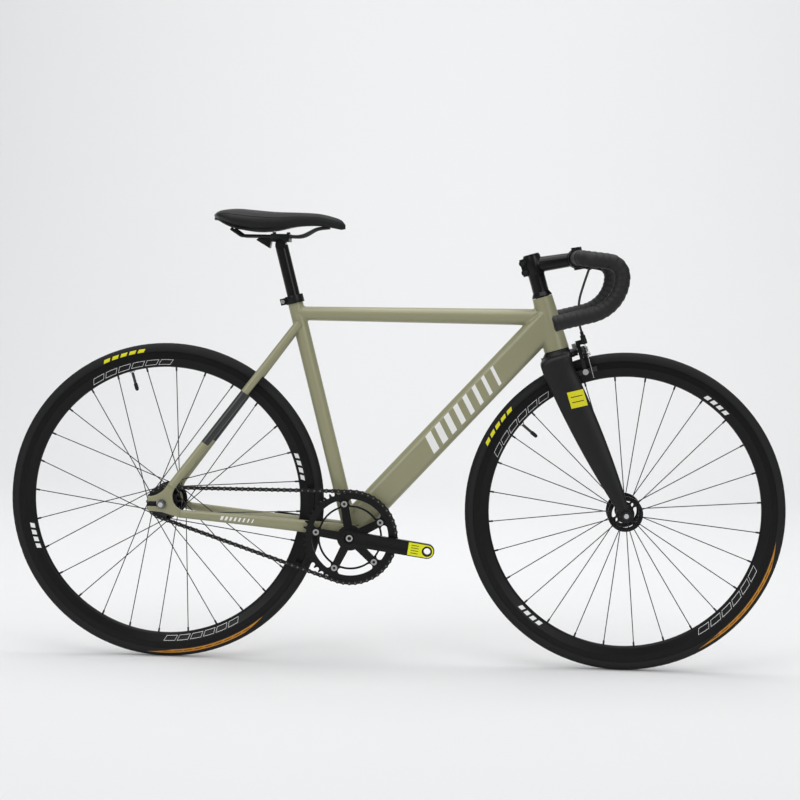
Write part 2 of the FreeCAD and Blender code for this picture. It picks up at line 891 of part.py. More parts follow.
def build_chainstays(down_solid):
    waist_share = (ring_pitch_radius + size.chain_plate_radius) / (chainstay_start - chainstay_end).Length
    waist = chainstay_start + (chainstay_end - chainstay_start) * waist_share
    waist_height = (f"(chainstay_front_height + (chainstay_rear_height - chainstay_front_height)"
                    f" * {waist_share:.6f})")
    stays = []
    for side, sign in SIDES.items():
        outer, inner = build_stay("chainstay_" + side, [
            (chainstay_start + LEFT * sign * size.chainstay_front_offset, "chainstay_front_height",
             "chainstay_width"),
            (waist + LEFT * sign * size.chainstay_waist_offset, waist_height, "chainstay_width"),
            (chainstay_end + LEFT * sign * stay_face_offset, "chainstay_rear_height", "chainstay_width"),
        ], chainstay_along)
        stays.append(cut("chainstay_cut_" + side, outer, inner, bracket_solid, seat_solid, down_solid))
    keep("chainstays", group("chainstay_pair", *stays))


def build_seatstays():
    stays = []
    for side, sign in SIDES.items():
        outer, inner = build_stay("seatstay_" + side, [
            (seatstay_start + LEFT * sign * size.seatstay_top_offset, "seatstay_height", "seatstay_width"),
            (seatstay_end + LEFT * sign * stay_face_offset, "seatstay_height", "seatstay_width"),
        ], seatstay_along)
        stays.append(cut("seatstay_cut_" + side, outer, inner, seat_solid))
    keep("seatstays", group("seatstay_pair", *stays))


def build_track_ends():
    """Slotted plates drawn about the rear axle, with arms squared to the stays."""
    slot_half = size.axle_radius + size.bolt_gap
    jaw = size.track_jaw_height
    tail = -size.track_slot_length
    seat_half = size.seatstay_height / 2
    chain_half = size.chainstay_rear_height / 2
    seat_across = LEFT.cross(seatstay_along)
    chain_across = LEFT.cross(chainstay_along)

    def corner(centre, across, reach):
        point = centre + across * reach - rear_axle_point
        return point.x, point.z

    outline = [
        (tail, slot_half),
        (0.0, slot_half, -slot_half),
        (slot_half, 0.0, -slot_half),
        (0.0, -slot_half),
        (tail, -slot_half),
        (tail, -jaw),
        (0.0, -jaw - size.track_jaw_swell),
        corner(chainstay_end, chain_across, -chain_half),
        (*corner(chainstay_end, chain_across, chain_half), -size.track_hollow_radius),
        corner(seatstay_end, seat_across, -seat_half),
        (*corner(seatstay_end, seat_across, seat_half), -size.track_brow_radius),
        (tail, jaw),
    ]
    plates = []
    for side, sign in SIDES.items():
        outer_face = size.rear_spacing / 2 if sign < 0 else -size.rear_spacing / 2 - size.track_end_thickness
        where = beside(rear_axle_point.x, -outer_face, rear_axle_point.z)
        plates.append(plate("track_end_" + side, where, "track_end_thickness", [outline]))
    keep("track_ends", group("track_end_pair", *plates))


def build_seat_clamp():
    """A split collar round the top of the seat tube, drawn together by a bolt behind it."""
    bottom = size.seat_tube_length - size.seat_clamp_height + size.seat_clamp_overhang
    outer_radius = size.seat_tube_radius + size.seat_gap + size.seat_clamp_wall
    collar = ring("clamp_collar", "seat_tube_radius + seat_gap",
                  "seat_tube_radius + seat_gap + seat_clamp_wall", "0", "seat_clamp_height", seat_at(bottom))
    middle = bottom + size.seat_clamp_height / 2
    ear_reach = outer_radius + (size.seat_clamp_ear - size.seat_clamp_overlap) / 2
    ears = box("clamp_ears", "seat_clamp_ear + seat_clamp_overlap", "2 * seat_clamp_ear",
               "seat_clamp_ear_height", seat_at(middle, -ear_reach + size.seat_clamp_overlap / 2))
    slit = box("clamp_slit", "3 * seat_clamp_ear", "clamp_slot", "2 * seat_clamp_height",
               seat_at(middle, -ear_reach))
    bolt_seat = axes(seat_at(middle, -ear_reach).Base - LEFT * size.seat_clamp_ear, LEFT, FORWARD)
    hole = cylinder("clamp_hole", "seat_clamp_bolt_radius + seat_gap", "2 * seat_clamp_ear", bolt_seat)
    tube_space = cylinder("clamp_tube_space", "seat_tube_radius + seat_gap", "seat_tube_length", seat_at(0))
    clamp = cut("clamp_cut", fuse("clamp_blank", collar, ears), slit, hole, tube_space)
    bolt = socket_bolt("clamp_bolt", "seat_clamp_bolt_radius", "2 * seat_clamp_ear",
                       "1.7 * seat_clamp_bolt_radius", "2 * seat_clamp_bolt_radius", bolt_seat)
    keep("seat_clamp", group("seat_clamp_set", clamp, bolt))


def socket_bolt(name, radius, length, head_radius, head_height, where):
    """A bolt whose shank runs up local Z from its head's seat, with a round socket in the head."""
    socket = f"({head_radius}) * 0.5"
    depth = f"({head_height}) * 0.6"
    return turned(name, where, [
        ("0", f"-({head_height}) + {depth}"),
        (socket, f"-({head_height}) + {depth}"),
        (socket, f"-({head_height})"),
        (head_radius, f"-({head_height})"),
        (head_radius, "0"),
        (radius, "0"),
        (radius, length),
        ("0", length),
    ])


# Headset, fork and stem

def build_headset():
    lower = ring("lower_bearing", "steerer_bottom_radius + running_gap", "lower_bearing_radius", "0",
                 "bearing_height", steer_at(head_bottom))
    upper = ring("upper_bearing", "steerer_top_radius + running_gap", "upper_bearing_radius", "0",
                 "bearing_height", steer_at(head_top - size.bearing_height))
    keep("headset_bearings", group("headset_bearing_pair", lower, upper))
    bore = "steerer_top_radius + seat_gap"
    rim = f"({bore} + spacer_wall)"
    cover = turned("headset_cover", steer_at(cover_bottom), [
        (bore, "0"), ("head_tube_top_radius", "0"), ("head_tube_top_radius", "cover_height * 0.2"),
        (rim, "cover_height * 0.75"), (rim, "cover_height"), (bore, "cover_height")])
    spacers = [
        ring(f"headset_spacer_{index}", bore, rim, "0", "spacer_height",
             steer_at(cover_bottom + size.cover_height + index * size.spacer_height))
        for index in range(2)]
    keep("headset_spacers", group("headset_stack", cover, *spacers))


def build_fork():
    """Tapered steerer, crown and two deep straight blades, opened round the tyre and the hub."""
    crown_race = size.fork_length
    steerer_end = stem_top - size.steerer_short - crown_race
    steerer = turned("steerer", steer_at(crown_race), [
        ("0", "-crown_height * 0.5"),
        ("steerer_bottom_radius", "-crown_height * 0.5"),
        ("steerer_bottom_radius", "headset_gap + bearing_height * 1.5"),
        ("steerer_top_radius", "head_tube_length * 0.8"),
        ("steerer_top_radius", steerer_end),
        ("0", steerer_end)])
    tip_offset = (size.front_spacing + size.fork_tip_thickness) / 2
    blade_run = Vector(size.fork_rake + size.blade_top_setback, 0, -(crown_race - size.blade_top_drop))
    shoulder_share = (size.blade_shoulder_drop - size.blade_top_drop) / -blade_run.z

    def on_blade(share):
        return (crown_race - size.blade_top_drop + blade_run.z * share,
                -size.blade_top_setback + blade_run.x * share)

    crown_low, crown_back = on_blade((size.crown_height - size.blade_top_drop) / -blade_run.z)
    crown = loft("crown", [
        ellipse("crown_top", "crown_top_radius", "crown_top_radius", steer_at(crown_race)),
        ellipse("crown_middle", "crown_depth / 2 - 1", "crown_width * 0.39",
                steer_at(crown_race - size.crown_height * 0.4, crown_back * 0.3)),
        ellipse("crown_bottom", "crown_depth / 2", "crown_width / 2", steer_at(crown_low, crown_back)),
    ])
    solids = [steerer, crown]
    for side, sign in SIDES.items():
        top, tip = steer_at(*on_blade(0)).Base, steer_at(*on_blade(1)).Base
        along = (tip - top).normalize()
        across = LEFT.cross(along)
        sections = []
        for index, (share, depth, thickness) in enumerate((
                (0.0, "blade_top_depth", "blade_top_thickness"),
                (shoulder_share, "blade_shoulder_depth", "blade_top_thickness"),
                (0.97, "blade_tip_depth", "blade_tip_thickness"))):
            offset = size.blade_top_offset + (tip_offset - size.blade_top_offset) * share
            sections.append(ellipse(f"blade_{side}_{index}", f"{depth} / 2", f"{thickness} / 2",
                                    axes(steer_at(*on_blade(share), sign * offset).Base, along, across)))
        solids.append(loft("blade_" + side, sections))
        tip_start = size.front_spacing / 2 if sign > 0 else -size.front_spacing / 2 - size.fork_tip_thickness
        solids.append(cylinder("fork_tip_" + side, "fork_tip_radius", "fork_tip_thickness",
                               crosswise(front_axle_point + LEFT * tip_start)))
    half_room = size.tyre_width / 2 + size.tyre_room
    spaces = [
        cylinder("tyre_space", "bead_radius + tyre_height + tyre_room", 2 * half_room,
                 crosswise(front_axle_point - LEFT * half_room)),
        cylinder("hub_space", "flange_radius + tyre_room", "front_spacing",
                 crosswise(front_axle_point - LEFT * size.front_spacing / 2)),
        cylinder("axle_space", "axle_radius + bolt_gap", LONG, crosswise(front_axle_point - LEFT * LONG / 2)),
        cylinder("steerer_bore", "steerer_bore_radius", LONG, steer_at(crown_race - size.crown_height)),
        cylinder("brake_bolt_space", "brake_bolt_radius + bolt_gap", 3 * size.crown_depth,
                 brake_layer(-2 * size.crown_depth)),
        cylinder("brake_front_seat", "brake_washer_radius + bolt_gap", "crown_depth", brake_layer(0)),
        cylinder("brake_back_seat", "2 * brake_bolt_radius + bolt_gap", "crown_depth",
                 brake_layer(-brake_bolt_back - size.crown_depth)),
    ]
    keep("fork", cut("fork_cut", fuse("fork_blank", *solids), *spaces))


def build_stem():
    """Stem with its split bar clamp, faceplate, bolts and top cap."""
    clamp = cylinder("stem_clamp", "stem_clamp_radius", "stem_clamp_height", steer_at(stem_bottom))
    middle = (stem_bottom + stem_top) / 2
    ear_reach = size.stem_clamp_radius + size.stem_ear_depth / 2 - size.stem_ear_overlap
    ears = box("stem_ears", "stem_ear_depth + 2 * stem_ear_overlap", "stem_ear_width", "stem_ear_height",
               steer_at(middle, -ear_reach))
    neck_length = size.stem_length - size.bar_centre_radius
    neck = cone("stem_neck", "stem_neck_radius", "stem_nose_radius", neck_length,
                axes(stem_centre, stem_forward, LEFT))
    bar_axes = axes(bar_centre, stem_forward, stem_upward)
    blank = fuse(
        "bar_clamp_blank",
        cylinder("bar_clamp_round", "bar_clamp_radius", "bar_clamp_width",
                 crosswise(bar_centre - LEFT * size.bar_clamp_width / 2)),
        box("bar_clamp_block", "bar_clamp_height", "bar_clamp_width", "bar_clamp_depth", bar_axes))
    bar_space = cylinder("bar_space", "bar_centre_radius + seat_gap", LONG,
                         crosswise(bar_centre - LEFT * LONG / 2))
    front_space = box("front_space", LONG, LONG, LONG, shifted(bar_axes, 0, 0, LONG / 2))
    back_space = box("back_space", LONG, LONG, LONG,
                     shifted(bar_axes, 0, 0, size.faceplate_gap - LONG / 2))
    steerer_space = cylinder("steerer_space", "steerer_top_radius + seat_gap", LONG,
                             steer_at(middle - LONG / 2))
    slit = box("stem_slit", "stem_clamp_radius + 2 * stem_ear_depth", "clamp_slot",
               "2 * stem_clamp_height", steer_at(middle, -ear_reach))
    bolts, holes = [], []
    bolt_rise = (size.bar_clamp_height / 2 + size.bar_centre_radius) / 2
    for rise in (-bolt_rise, bolt_rise):
        for offset in (-size.bar_clamp_width / 3, size.bar_clamp_width / 3):
            seat = bar_centre + stem_upward * rise + LEFT * offset + stem_forward * size.bar_clamp_depth / 2
            where = axes(seat, -stem_forward, LEFT)
            bolts.append(socket_bolt(f"face_bolt_{len(bolts)}", "stem_bolt_radius", "bar_clamp_depth",
                                     "1.5 * stem_bolt_radius", "2 * stem_bolt_radius", where))
            holes.append(fuse(
                f"face_hole_{len(holes)}",
                cylinder(f"face_shank_{len(holes)}", "stem_bolt_radius + seat_gap",
                         "bar_clamp_depth + face_gap", where),
                cylinder(f"face_seat_{len(holes)}", "1.5 * stem_bolt_radius + bolt_gap", "bar_clamp_radius",
                         shifted(where, 0, 0, -size.bar_clamp_radius))))
    for rise in (-size.stem_clamp_height / 4, size.stem_clamp_height / 4):
        seat = steer_at(middle + rise, -ear_reach - size.pinch_bolt_setback, -size.stem_ear_width / 2).Base
        where = axes(seat, LEFT, FORWARD)
        bolts.append(socket_bolt(f"pinch_bolt_{len(bolts)}", "stem_bolt_radius", "stem_ear_width",
                                 "1.5 * stem_bolt_radius", "2 * stem_bolt_radius", where))
        holes.append(cylinder(f"pinch_hole_{len(holes)}", "stem_bolt_radius + seat_gap", "stem_ear_width",
                              where))
    keep("stem", cut("stem_cut", fuse("stem_blank", clamp, ears, neck, blank), steerer_space, bar_space,
                     front_space, slit, *holes))
    keep("stem_faceplate", cut("faceplate_cut", blank, bar_space, back_space, *holes[:4]))
    keep("stem_bolts", group("stem_bolt_set", *bolts))
    cap = turned("top_cap", steer_at(stem_top), [
        ("0", "0"),
        ("top_cap_radius", "0"),
        ("top_cap_radius", "top_cap_height * 0.75"),
        ("top_cap_radius - top_cap_bevel", "top_cap_height"),
        ("top_cap_socket_radius", "top_cap_height"),
        ("top_cap_socket_radius", "top_cap_height / 2"),
        ("0", "top_cap_height / 2")])
    keep("stem_top_cap", cap)


# Handlebar, tape and plugs

def bar_wire(sign, start_offset):
    """One half of the bar's centre line, from a distance off the middle out to the end of the drop."""
    outward = LEFT * sign
    ramp = tilted(-size.bar_ramp_angle)
    bend_start = bar_centre + outward * (size.bar_half_width - size.bar_bend_radius)
    bend_end = bend_start + (outward + ramp) * size.bar_bend_radius
    half = math.sqrt(0.5)
    bend_middle = bend_start + (ramp + (outward - ramp) * half) * size.bar_bend_radius
    hook_start = bend_end + ramp * size.bar_ramp_length

    def turn_down(start, heading, radius, degrees):
        """An arc that turns downwards from a heading, and its far end."""
        centre = start + tilted(heading - 90) * radius
        middle = centre + tilted(heading + 90 - degrees / 2) * radius
        end = centre + tilted(heading + 90 - degrees) * radius
        return Part.Arc(start, middle, end).toShape(), end

    hook, drop_start = turn_down(hook_start, -size.bar_ramp_angle, size.bar_hook_radius,
                                 90 - size.bar_ramp_angle)
    drop, tail_start = turn_down(drop_start, -90, size.bar_drop_radius, 90 - size.bar_drop_end_angle)
    tail_end = tail_start - tilted(size.bar_drop_end_angle) * size.bar_tail_length
    return Part.Wire([
        Part.LineSegment(bar_centre + outward * start_offset, bend_start).toShape(),
        Part.Arc(bend_start, bend_middle, bend_end).toShape(),
        Part.LineSegment(bend_end, hook_start).toShape(),
        hook,
        drop,
        Part.LineSegment(tail_start, tail_end).toShape(),
    ]), tail_end


def build_handlebar():
    taper_end = size.bar_bulge + size.bar_taper
    bore = size.bar_radius - size.bar_wall
    centre_half = cylinder("bar_bulge_solid", "bar_centre_radius", "2 * bar_bulge",
                           crosswise(bar_centre - LEFT * size.bar_bulge))
    solids = [centre_half]
    bores = [cylinder("bar_bore", "bar_centre_radius - bar_wall", "2 * bar_bulge",
                      crosswise(bar_centre - LEFT * size.bar_bulge))]
    tapes, plugs = [], []
    for side, sign in SIDES.items():
        taper_at = axes(bar_centre + LEFT * sign * size.bar_bulge, LEFT * sign, FORWARD)
        solids.append(cone("bar_taper_" + side, "bar_centre_radius", "bar_radius", "bar_taper", taper_at))
        bores.append(cone("bar_taper_bore_" + side, "bar_centre_radius - bar_wall", "bar_radius - bar_wall",
                          "bar_taper", taper_at))
        wire, end = bar_wire(sign, taper_end)
        solids.append(made("bar_drop_" + side, rod(wire, size.bar_radius)))
        bores.append(made("bar_drop_bore_" + side, rod(wire, bore)))
        tape_wire, _ = bar_wire(sign, taper_end + size.tape_setback)
        tape_bore = rod(tape_wire, size.bar_radius + size.seat_gap)
        tape = rod(tape_wire, size.bar_radius + size.tape_thickness).cut(tape_bore)
        tapes.append(made("tape_" + side, tape))
        plug_at = axes(end, -tilted(size.bar_drop_end_angle), LEFT)
        plugs.append(turned("bar_plug_" + side, plug_at, [
            ("0", "-3 * plug_thickness"), ("bar_radius - bar_wall - seat_gap", "-3 * plug_thickness"),
            ("bar_radius - bar_wall - seat_gap", "0"), ("bar_radius + tape_thickness", "0"),
            ("bar_radius + tape_thickness", "plug_thickness / 2"),
            ("bar_radius", "plug_thickness"), ("0", "plug_thickness")]))
    keep("handlebar", cut("handlebar_cut", fuse("handlebar_blank", *solids), *bores))
    keep("bar_tape", group("bar_tape_pair", *tapes))
    keep("bar_end_plugs", group("bar_plug_pair", *plugs))


# Front brake

lever_forward = tilted(-size.lever_angle)
lever_up = tilted(90 - size.lever_angle)
lever_origin = bar_centre - lever_up * size.lever_plane_drop - LEFT * size.lever_place
brake_origin = steer_at(size.fork_length - size.brake_drop, size.crown_depth / 2 - size.crown_seat_inset).Base
brake_bolt_back = size.crown_depth - size.crown_seat_inset + 2


def lever_layer(height):
    """A placement in the lever's plane: local X forward, local Y left, height along local Z."""
    return axes(lever_origin + lever_up * height, lever_up, lever_forward)


def brake_layer(forward):
    """A placement in the caliper's plane: local X left, local Y up, depth forward along local Z."""
    return axes(brake_origin + steer_forward * forward, steer_forward, LEFT)


def build_brake_lever():
    """A lever that pivots between two cheeks on a clamp round the top of the bar."""
    clamp = ring("lever_clamp", "bar_centre_radius + seat_gap",
                 "bar_centre_radius + seat_gap + lever_clamp_wall", "-lever_clamp_width / 2",
                 "lever_clamp_width / 2", crosswise(bar_centre - LEFT * size.lever_place))
    pivot = (size.lever_pivot_reach, size.lever_pivot_inset)
    anchor = (size.lever_pivot_reach + size.lever_cable_arm, size.lever_pivot_inset - size.lever_nose_inset)
    elbow = (size.lever_elbow_reach, size.lever_pivot_inset - size.lever_elbow_span)
    tip = (size.lever_tip_reach, size.lever_pivot_inset - size.lever_tip_span)
    hub = size.lever_hub_radius
    half = size.lever_thickness / 2
    links = [
        plate("lever_root", lever_layer(-half), "lever_thickness",
              [link_loop(pivot, hub, elbow, size.lever_elbow_radius)]),
        plate("lever_blade", lever_layer(-half), "lever_thickness",
              [link_loop(elbow, size.lever_elbow_radius, tip, size.lever_blade_radius)]),
        plate("lever_nose", lever_layer(-half), "lever_thickness",
              [link_loop(pivot, hub, anchor, size.lever_nose_radius)]),
    ]
    pin_hole = cylinder("lever_pin_hole", "lever_pin_radius + running_gap", LONG,
                        shifted(lever_layer(-LONG / 2), *pivot, 0))
    keep("brake_lever", cut("brake_lever_cut", fuse("lever_blank", *links), pin_hole))

    cheek_gap = half + size.face_gap
    root = (0.0, 0.0)
    cheeks = []
    for name, start in (("upper", cheek_gap), ("lower", -cheek_gap - size.lever_cheek)):
        cheeks.append(plate("lever_cheek_" + name, lever_layer(start), "lever_cheek",
                            [link_loop(root, size.lever_clamp_width / 2, pivot, hub)]))
    stop_at = (size.lever_pivot_reach + size.lever_cable_arm, size.lever_pivot_inset + size.lever_stop_span)
    stop_length = 2 * (cheek_gap + size.lever_cheek)
    stop_arm = plate("lever_stop_arm", lever_layer(cheek_gap), "lever_cheek",
                     [link_loop(pivot, size.lever_stop_root_radius, stop_at, size.lever_stop_radius)])
    barrel_at = shifted(lever_layer(0), stop_at[0], stop_at[1] - size.barrel_setback, 0)
    barrel_axes = axes(barrel_at.Base, LEFT, lever_up)
    housing_seat = shifted(barrel_axes, 0, 0, size.barrel_length - size.housing_depth)
    barrel = cylinder("lever_barrel", "housing_radius + barrel_wall", "barrel_length", barrel_axes)
    barrel_bore = cylinder("lever_barrel_bore", "housing_radius + seat_gap", "housing_depth", housing_seat)
    cable_bore = cylinder("lever_cable_bore", "cable_radius + bolt_gap", "barrel_length", barrel_axes)
    bar_space = cylinder("lever_bar_space", "bar_centre_radius + seat_gap", LONG,
                         crosswise(bar_centre - LEFT * LONG / 2))
    pin_seat = cylinder("lever_pin_seat", "lever_pin_radius + seat_gap", LONG,
                        shifted(lever_layer(-LONG / 2), *pivot, 0))
    pulled = FreeCAD.Rotation(Vector(0, 0, 1), -size.lever_pull).multVec(
        Vector(elbow[0] - pivot[0], elbow[1] - pivot[1], 0))
    relief = plate("lever_relief", lever_layer(-cheek_gap), "lever_thickness + 2 * face_gap", [
        link_loop(pivot, hub + size.lever_relief, (pivot[0] + pulled.x, pivot[1] + pulled.y),
                  size.lever_elbow_radius + size.lever_relief)])
    body = cut("lever_body_cut", fuse("lever_body_blank", clamp, *cheeks, stop_arm, barrel), bar_space,
               barrel_bore, cable_bore, pin_seat, relief)
    pin = cylinder("lever_pin", "lever_pin_radius", stop_length,
                   shifted(lever_layer(-stop_length / 2), *pivot, 0))
    keep("brake_lever_body", group("lever_body_set", body, pin))
    return housing_seat.Base


def build_caliper():
    """A dual-pivot caliper: one arm turns on the centre bolt, the other on a side stud of the yoke."""
    yoke_end = size.brake_yoke_start + size.brake_yoke_thickness
    rear_layer = yoke_end + size.face_gap
    front_layer = rear_layer + size.caliper_arm_thickness + size.face_gap
    front_end = front_layer + size.caliper_arm_thickness
    side_pivot = (size.side_pivot_offset, size.side_pivot_rise)
    rim_half = size.rim_width / 2
    shoe_back = rim_half + size.shoe_gap + size.shoe_thickness
    shoe_spot = shoe_back + size.arm_setout
    cable_depth = front_end + size.cable_radius + size.bolt_gap
    cable_side = -size.cable_offset

    yoke = plate("brake_yoke", brake_layer(size.brake_yoke_start), "brake_yoke_thickness",
                 [link_loop((0.0, 0.0), size.yoke_centre_radius, side_pivot, size.yoke_side_radius)])
    crown_washer = ring("brake_washer", "brake_bolt_radius + seat_gap", "brake_washer_radius", "0",
                        "brake_yoke_start", brake_layer(0))
    yoke_bore = cylinder("brake_yoke_bore", "brake_bolt_radius + seat_gap", LONG, brake_layer(-LONG / 2))
    stud_length = rear_layer + size.caliper_arm_thickness - size.brake_yoke_start
    stud = cylinder("side_stud", "brake_bolt_radius", stud_length,
                    shifted(brake_layer(size.brake_yoke_start), *side_pivot, 0))
    yoke_set = cut("brake_yoke_cut", fuse("brake_yoke_blank", yoke, crown_washer, stud), yoke_bore)
    bolt_length = brake_bolt_back + front_end + size.face_gap
    nut_end = bolt_length + size.brake_nut_height
    bolt = turned("brake_bolt", brake_layer(-brake_bolt_back), [
        ("0", "-1.4 * brake_bolt_radius"), ("2 * brake_bolt_radius", "-1.4 * brake_bolt_radius"),
        ("2 * brake_bolt_radius", "0"), ("brake_bolt_radius", "0"), ("brake_bolt_radius", bolt_length),
        ("1.9 * brake_bolt_radius", bolt_length), ("1.9 * brake_bolt_radius", nut_end), ("0", nut_end)])
    keep("brake_mount", group("brake_mount_set", yoke_set, bolt))

    def arm(name, depth, corners, *extras):
        links = [
            plate(f"{name}_link_{index}", brake_layer(depth), "caliper_arm_thickness",
                  [link_loop(start[:2], start[2], end[:2], end[2])])
            for index, (start, end) in enumerate(zip(corners, corners[1:]))]
        return fuse(name + "_blank", *links, *extras)

    lug_drop = size.adjuster_lug_height / 2
    lug_base = brake_origin + LEFT * cable_side + steer_up * (size.adjuster_rise - lug_drop)
    cable_axes = axes(lug_base + steer_forward * cable_depth, steer_up, LEFT)
    lug = cylinder("adjuster_lug", "adjuster_radius + adjuster_lug_wall", "adjuster_lug_height", cable_axes)
    web_depth = cable_depth - rear_layer
    web = box("adjuster_web_block", "adjuster_web", "adjuster_lug_height", web_depth,
              shifted(brake_layer(rear_layer + web_depth / 2), cable_side, size.adjuster_rise, 0))
    right_arm = arm("caliper_arm_right", rear_layer, [
        (*side_pivot, size.arm_side_pivot_radius),
        (-size.right_shoulder_offset, size.adjuster_rise - 2, size.arm_shoulder_radius),
        (-shoe_spot - 5, -size.right_elbow_drop, size.arm_elbow_radius),
        (-shoe_spot, -size.shoe_drop, size.arm_foot_radius)], lug, web)
    left_arm = arm("caliper_arm_left", front_layer, [
        (cable_side, -size.anchor_drop, size.arm_elbow_radius),
        (0.0, 0.0, size.arm_centre_pivot_radius),
        (shoe_spot - 3, -size.left_shoulder_drop, size.arm_shoulder_radius),
        (shoe_spot + 3, -size.left_elbow_drop, size.arm_elbow_radius),
        (shoe_spot, -size.shoe_drop, size.arm_foot_radius)])

    side_bore = cylinder("side_bore", "brake_bolt_radius + running_gap", LONG,
                         shifted(brake_layer(-LONG / 2), *side_pivot, 0))
    centre_bore = cylinder("centre_bore", "brake_bolt_radius + running_gap", LONG, brake_layer(-LONG / 2))
    adjuster_bore = cylinder("adjuster_seat", "adjuster_radius - adjuster_step + seat_gap",
                             "2 * adjuster_length", shifted(cable_axes, 0, 0, -size.adjuster_length))
    anchor_seat = shifted(brake_layer(front_layer), cable_side + size.anchor_setback, -size.anchor_drop, 0)
    anchor_bore = cylinder("anchor_bore", "anchor_bolt_radius + seat_gap", LONG, anchor_seat)
    shoes = {}
    bores = {}
    for side, sign in SIDES.items():
        depth = (rear_layer if sign < 0 else front_layer) + size.caliper_arm_thickness / 2
        spot = shifted(brake_layer(depth), sign * (rim_half + size.shoe_gap), -size.shoe_drop, 0).Base
        outward = axes(spot, LEFT * sign, steer_forward)
        pad = box("shoe_pad_" + side, "shoe_length", "shoe_height", "shoe_thickness",
                  shifted(outward, 0, 0, size.shoe_thickness / 2))
        nut_start = shoe_spot - rim_half - size.shoe_gap + size.shoe_nut_seat
        nut_end = nut_start + size.shoe_nut_height
        stud_out = cylinder("shoe_stud_" + side, "shoe_stud_radius", nut_end, outward)
        nut = ring("shoe_nut_" + side, "shoe_stud_radius + seat_gap", "shoe_nut_radius", nut_start, nut_end,
                   outward)
        shoes[side] = group("shoe_set_" + side, fuse("shoe_solid_" + side, pad, stud_out), nut)
        bores[side] = [
            cylinder("shoe_bore_" + side, "shoe_stud_radius + seat_gap", 3 * shoe_spot, outward),
            cylinder("shoe_seat_" + side, "shoe_nut_radius + bolt_gap", 3 * shoe_spot,
                     shifted(outward, 0, 0, nut_start))]
    keep("caliper_arm_right", cut("right_arm_cut", right_arm, side_bore, adjuster_bore, *bores["right"]))
    keep("caliper_arm_left", cut("left_arm_cut", left_arm, centre_bore, anchor_bore, *bores["left"]))
    for side in SIDES:
        keep("brake_shoe_" + side, shoes[side])

    stem = "adjuster_radius - adjuster_step"
    grip = "adjuster_radius + adjuster_step"
    grip_top = "adjuster_lug_height + adjuster_grip"
    adjuster = turned("adjuster", cable_axes, [
        ("adjuster_bore_radius", "-adjuster_step"), (stem, "-adjuster_step"), (stem, "adjuster_lug_height"),
        (grip, "adjuster_lug_height"), (grip, grip_top), (stem, f"{grip_top} + adjuster_step"),
        (stem, "adjuster_length"), ("adjuster_bore_radius", "adjuster_length")])
    keep("barrel_adjuster", adjuster)
    cable_bottom = lug_drop - size.adjuster_rise - size.cable_tail - size.anchor_drop
    wire = cylinder("cable_wire", "cable_radius", lug_drop - cable_bottom,
                    shifted(cable_axes, 0, 0, cable_bottom))
    anchor_axes = shifted(anchor_seat, 0, 0,
                          size.caliper_arm_thickness + 2 * (size.cable_radius + size.bolt_gap))
    head_top = "anchor_washer_thickness + anchor_head_height"
    anchor_bolt = turned("anchor_bolt", anchor_axes, [
        ("0", "-caliper_arm_thickness"), ("anchor_bolt_radius", "-caliper_arm_thickness"),
        ("anchor_bolt_radius", "0"), ("anchor_washer_radius", "0"),
        ("anchor_washer_radius", "anchor_washer_thickness"),
        ("anchor_head_radius", "anchor_washer_thickness"), ("anchor_head_radius", head_top), ("0", head_top)])
    keep("brake_cable", group("brake_cable_set", wire, anchor_bolt))
    return shifted(cable_axes, 0, 0, size.adjuster_length).Base


def build_housing(lever_end, adjuster_end):
    """The brake cable's outer housing, from the lever's barrel round the stem and down to the caliper."""
    past_stem = lever_end + Vector(0, 23, 0)
    below_stem = bar_centre + Vector(16, -15, -53)
    beside_head = bar_centre + Vector(7, -13, -85)
    above_adjuster = adjuster_end + steer_up * 24
    bend_radii = [18, 60, 70, 45]
    route = [lever_end, past_stem, below_stem, beside_head, above_adjuster, adjuster_end]
    wire = bent_wire(route, bend_radii)
    housing = rod(wire, size.housing_radius)
    expected = math.pi * size.housing_radius ** 2 * wire.Length
    print(f"brake housing {wire.Length:.0f} mm long, volume share {housing.Volume / expected:.4f}")
    keep("brake_housing", made("housing_tube", housing))


# Wheels

def polar(centre, radius, degrees, offset=0.0):
    """A point on a wheel, turned up from forward as seen from the right, offset to the left."""
    return centre + tilted(degrees) * radius + LEFT * offset


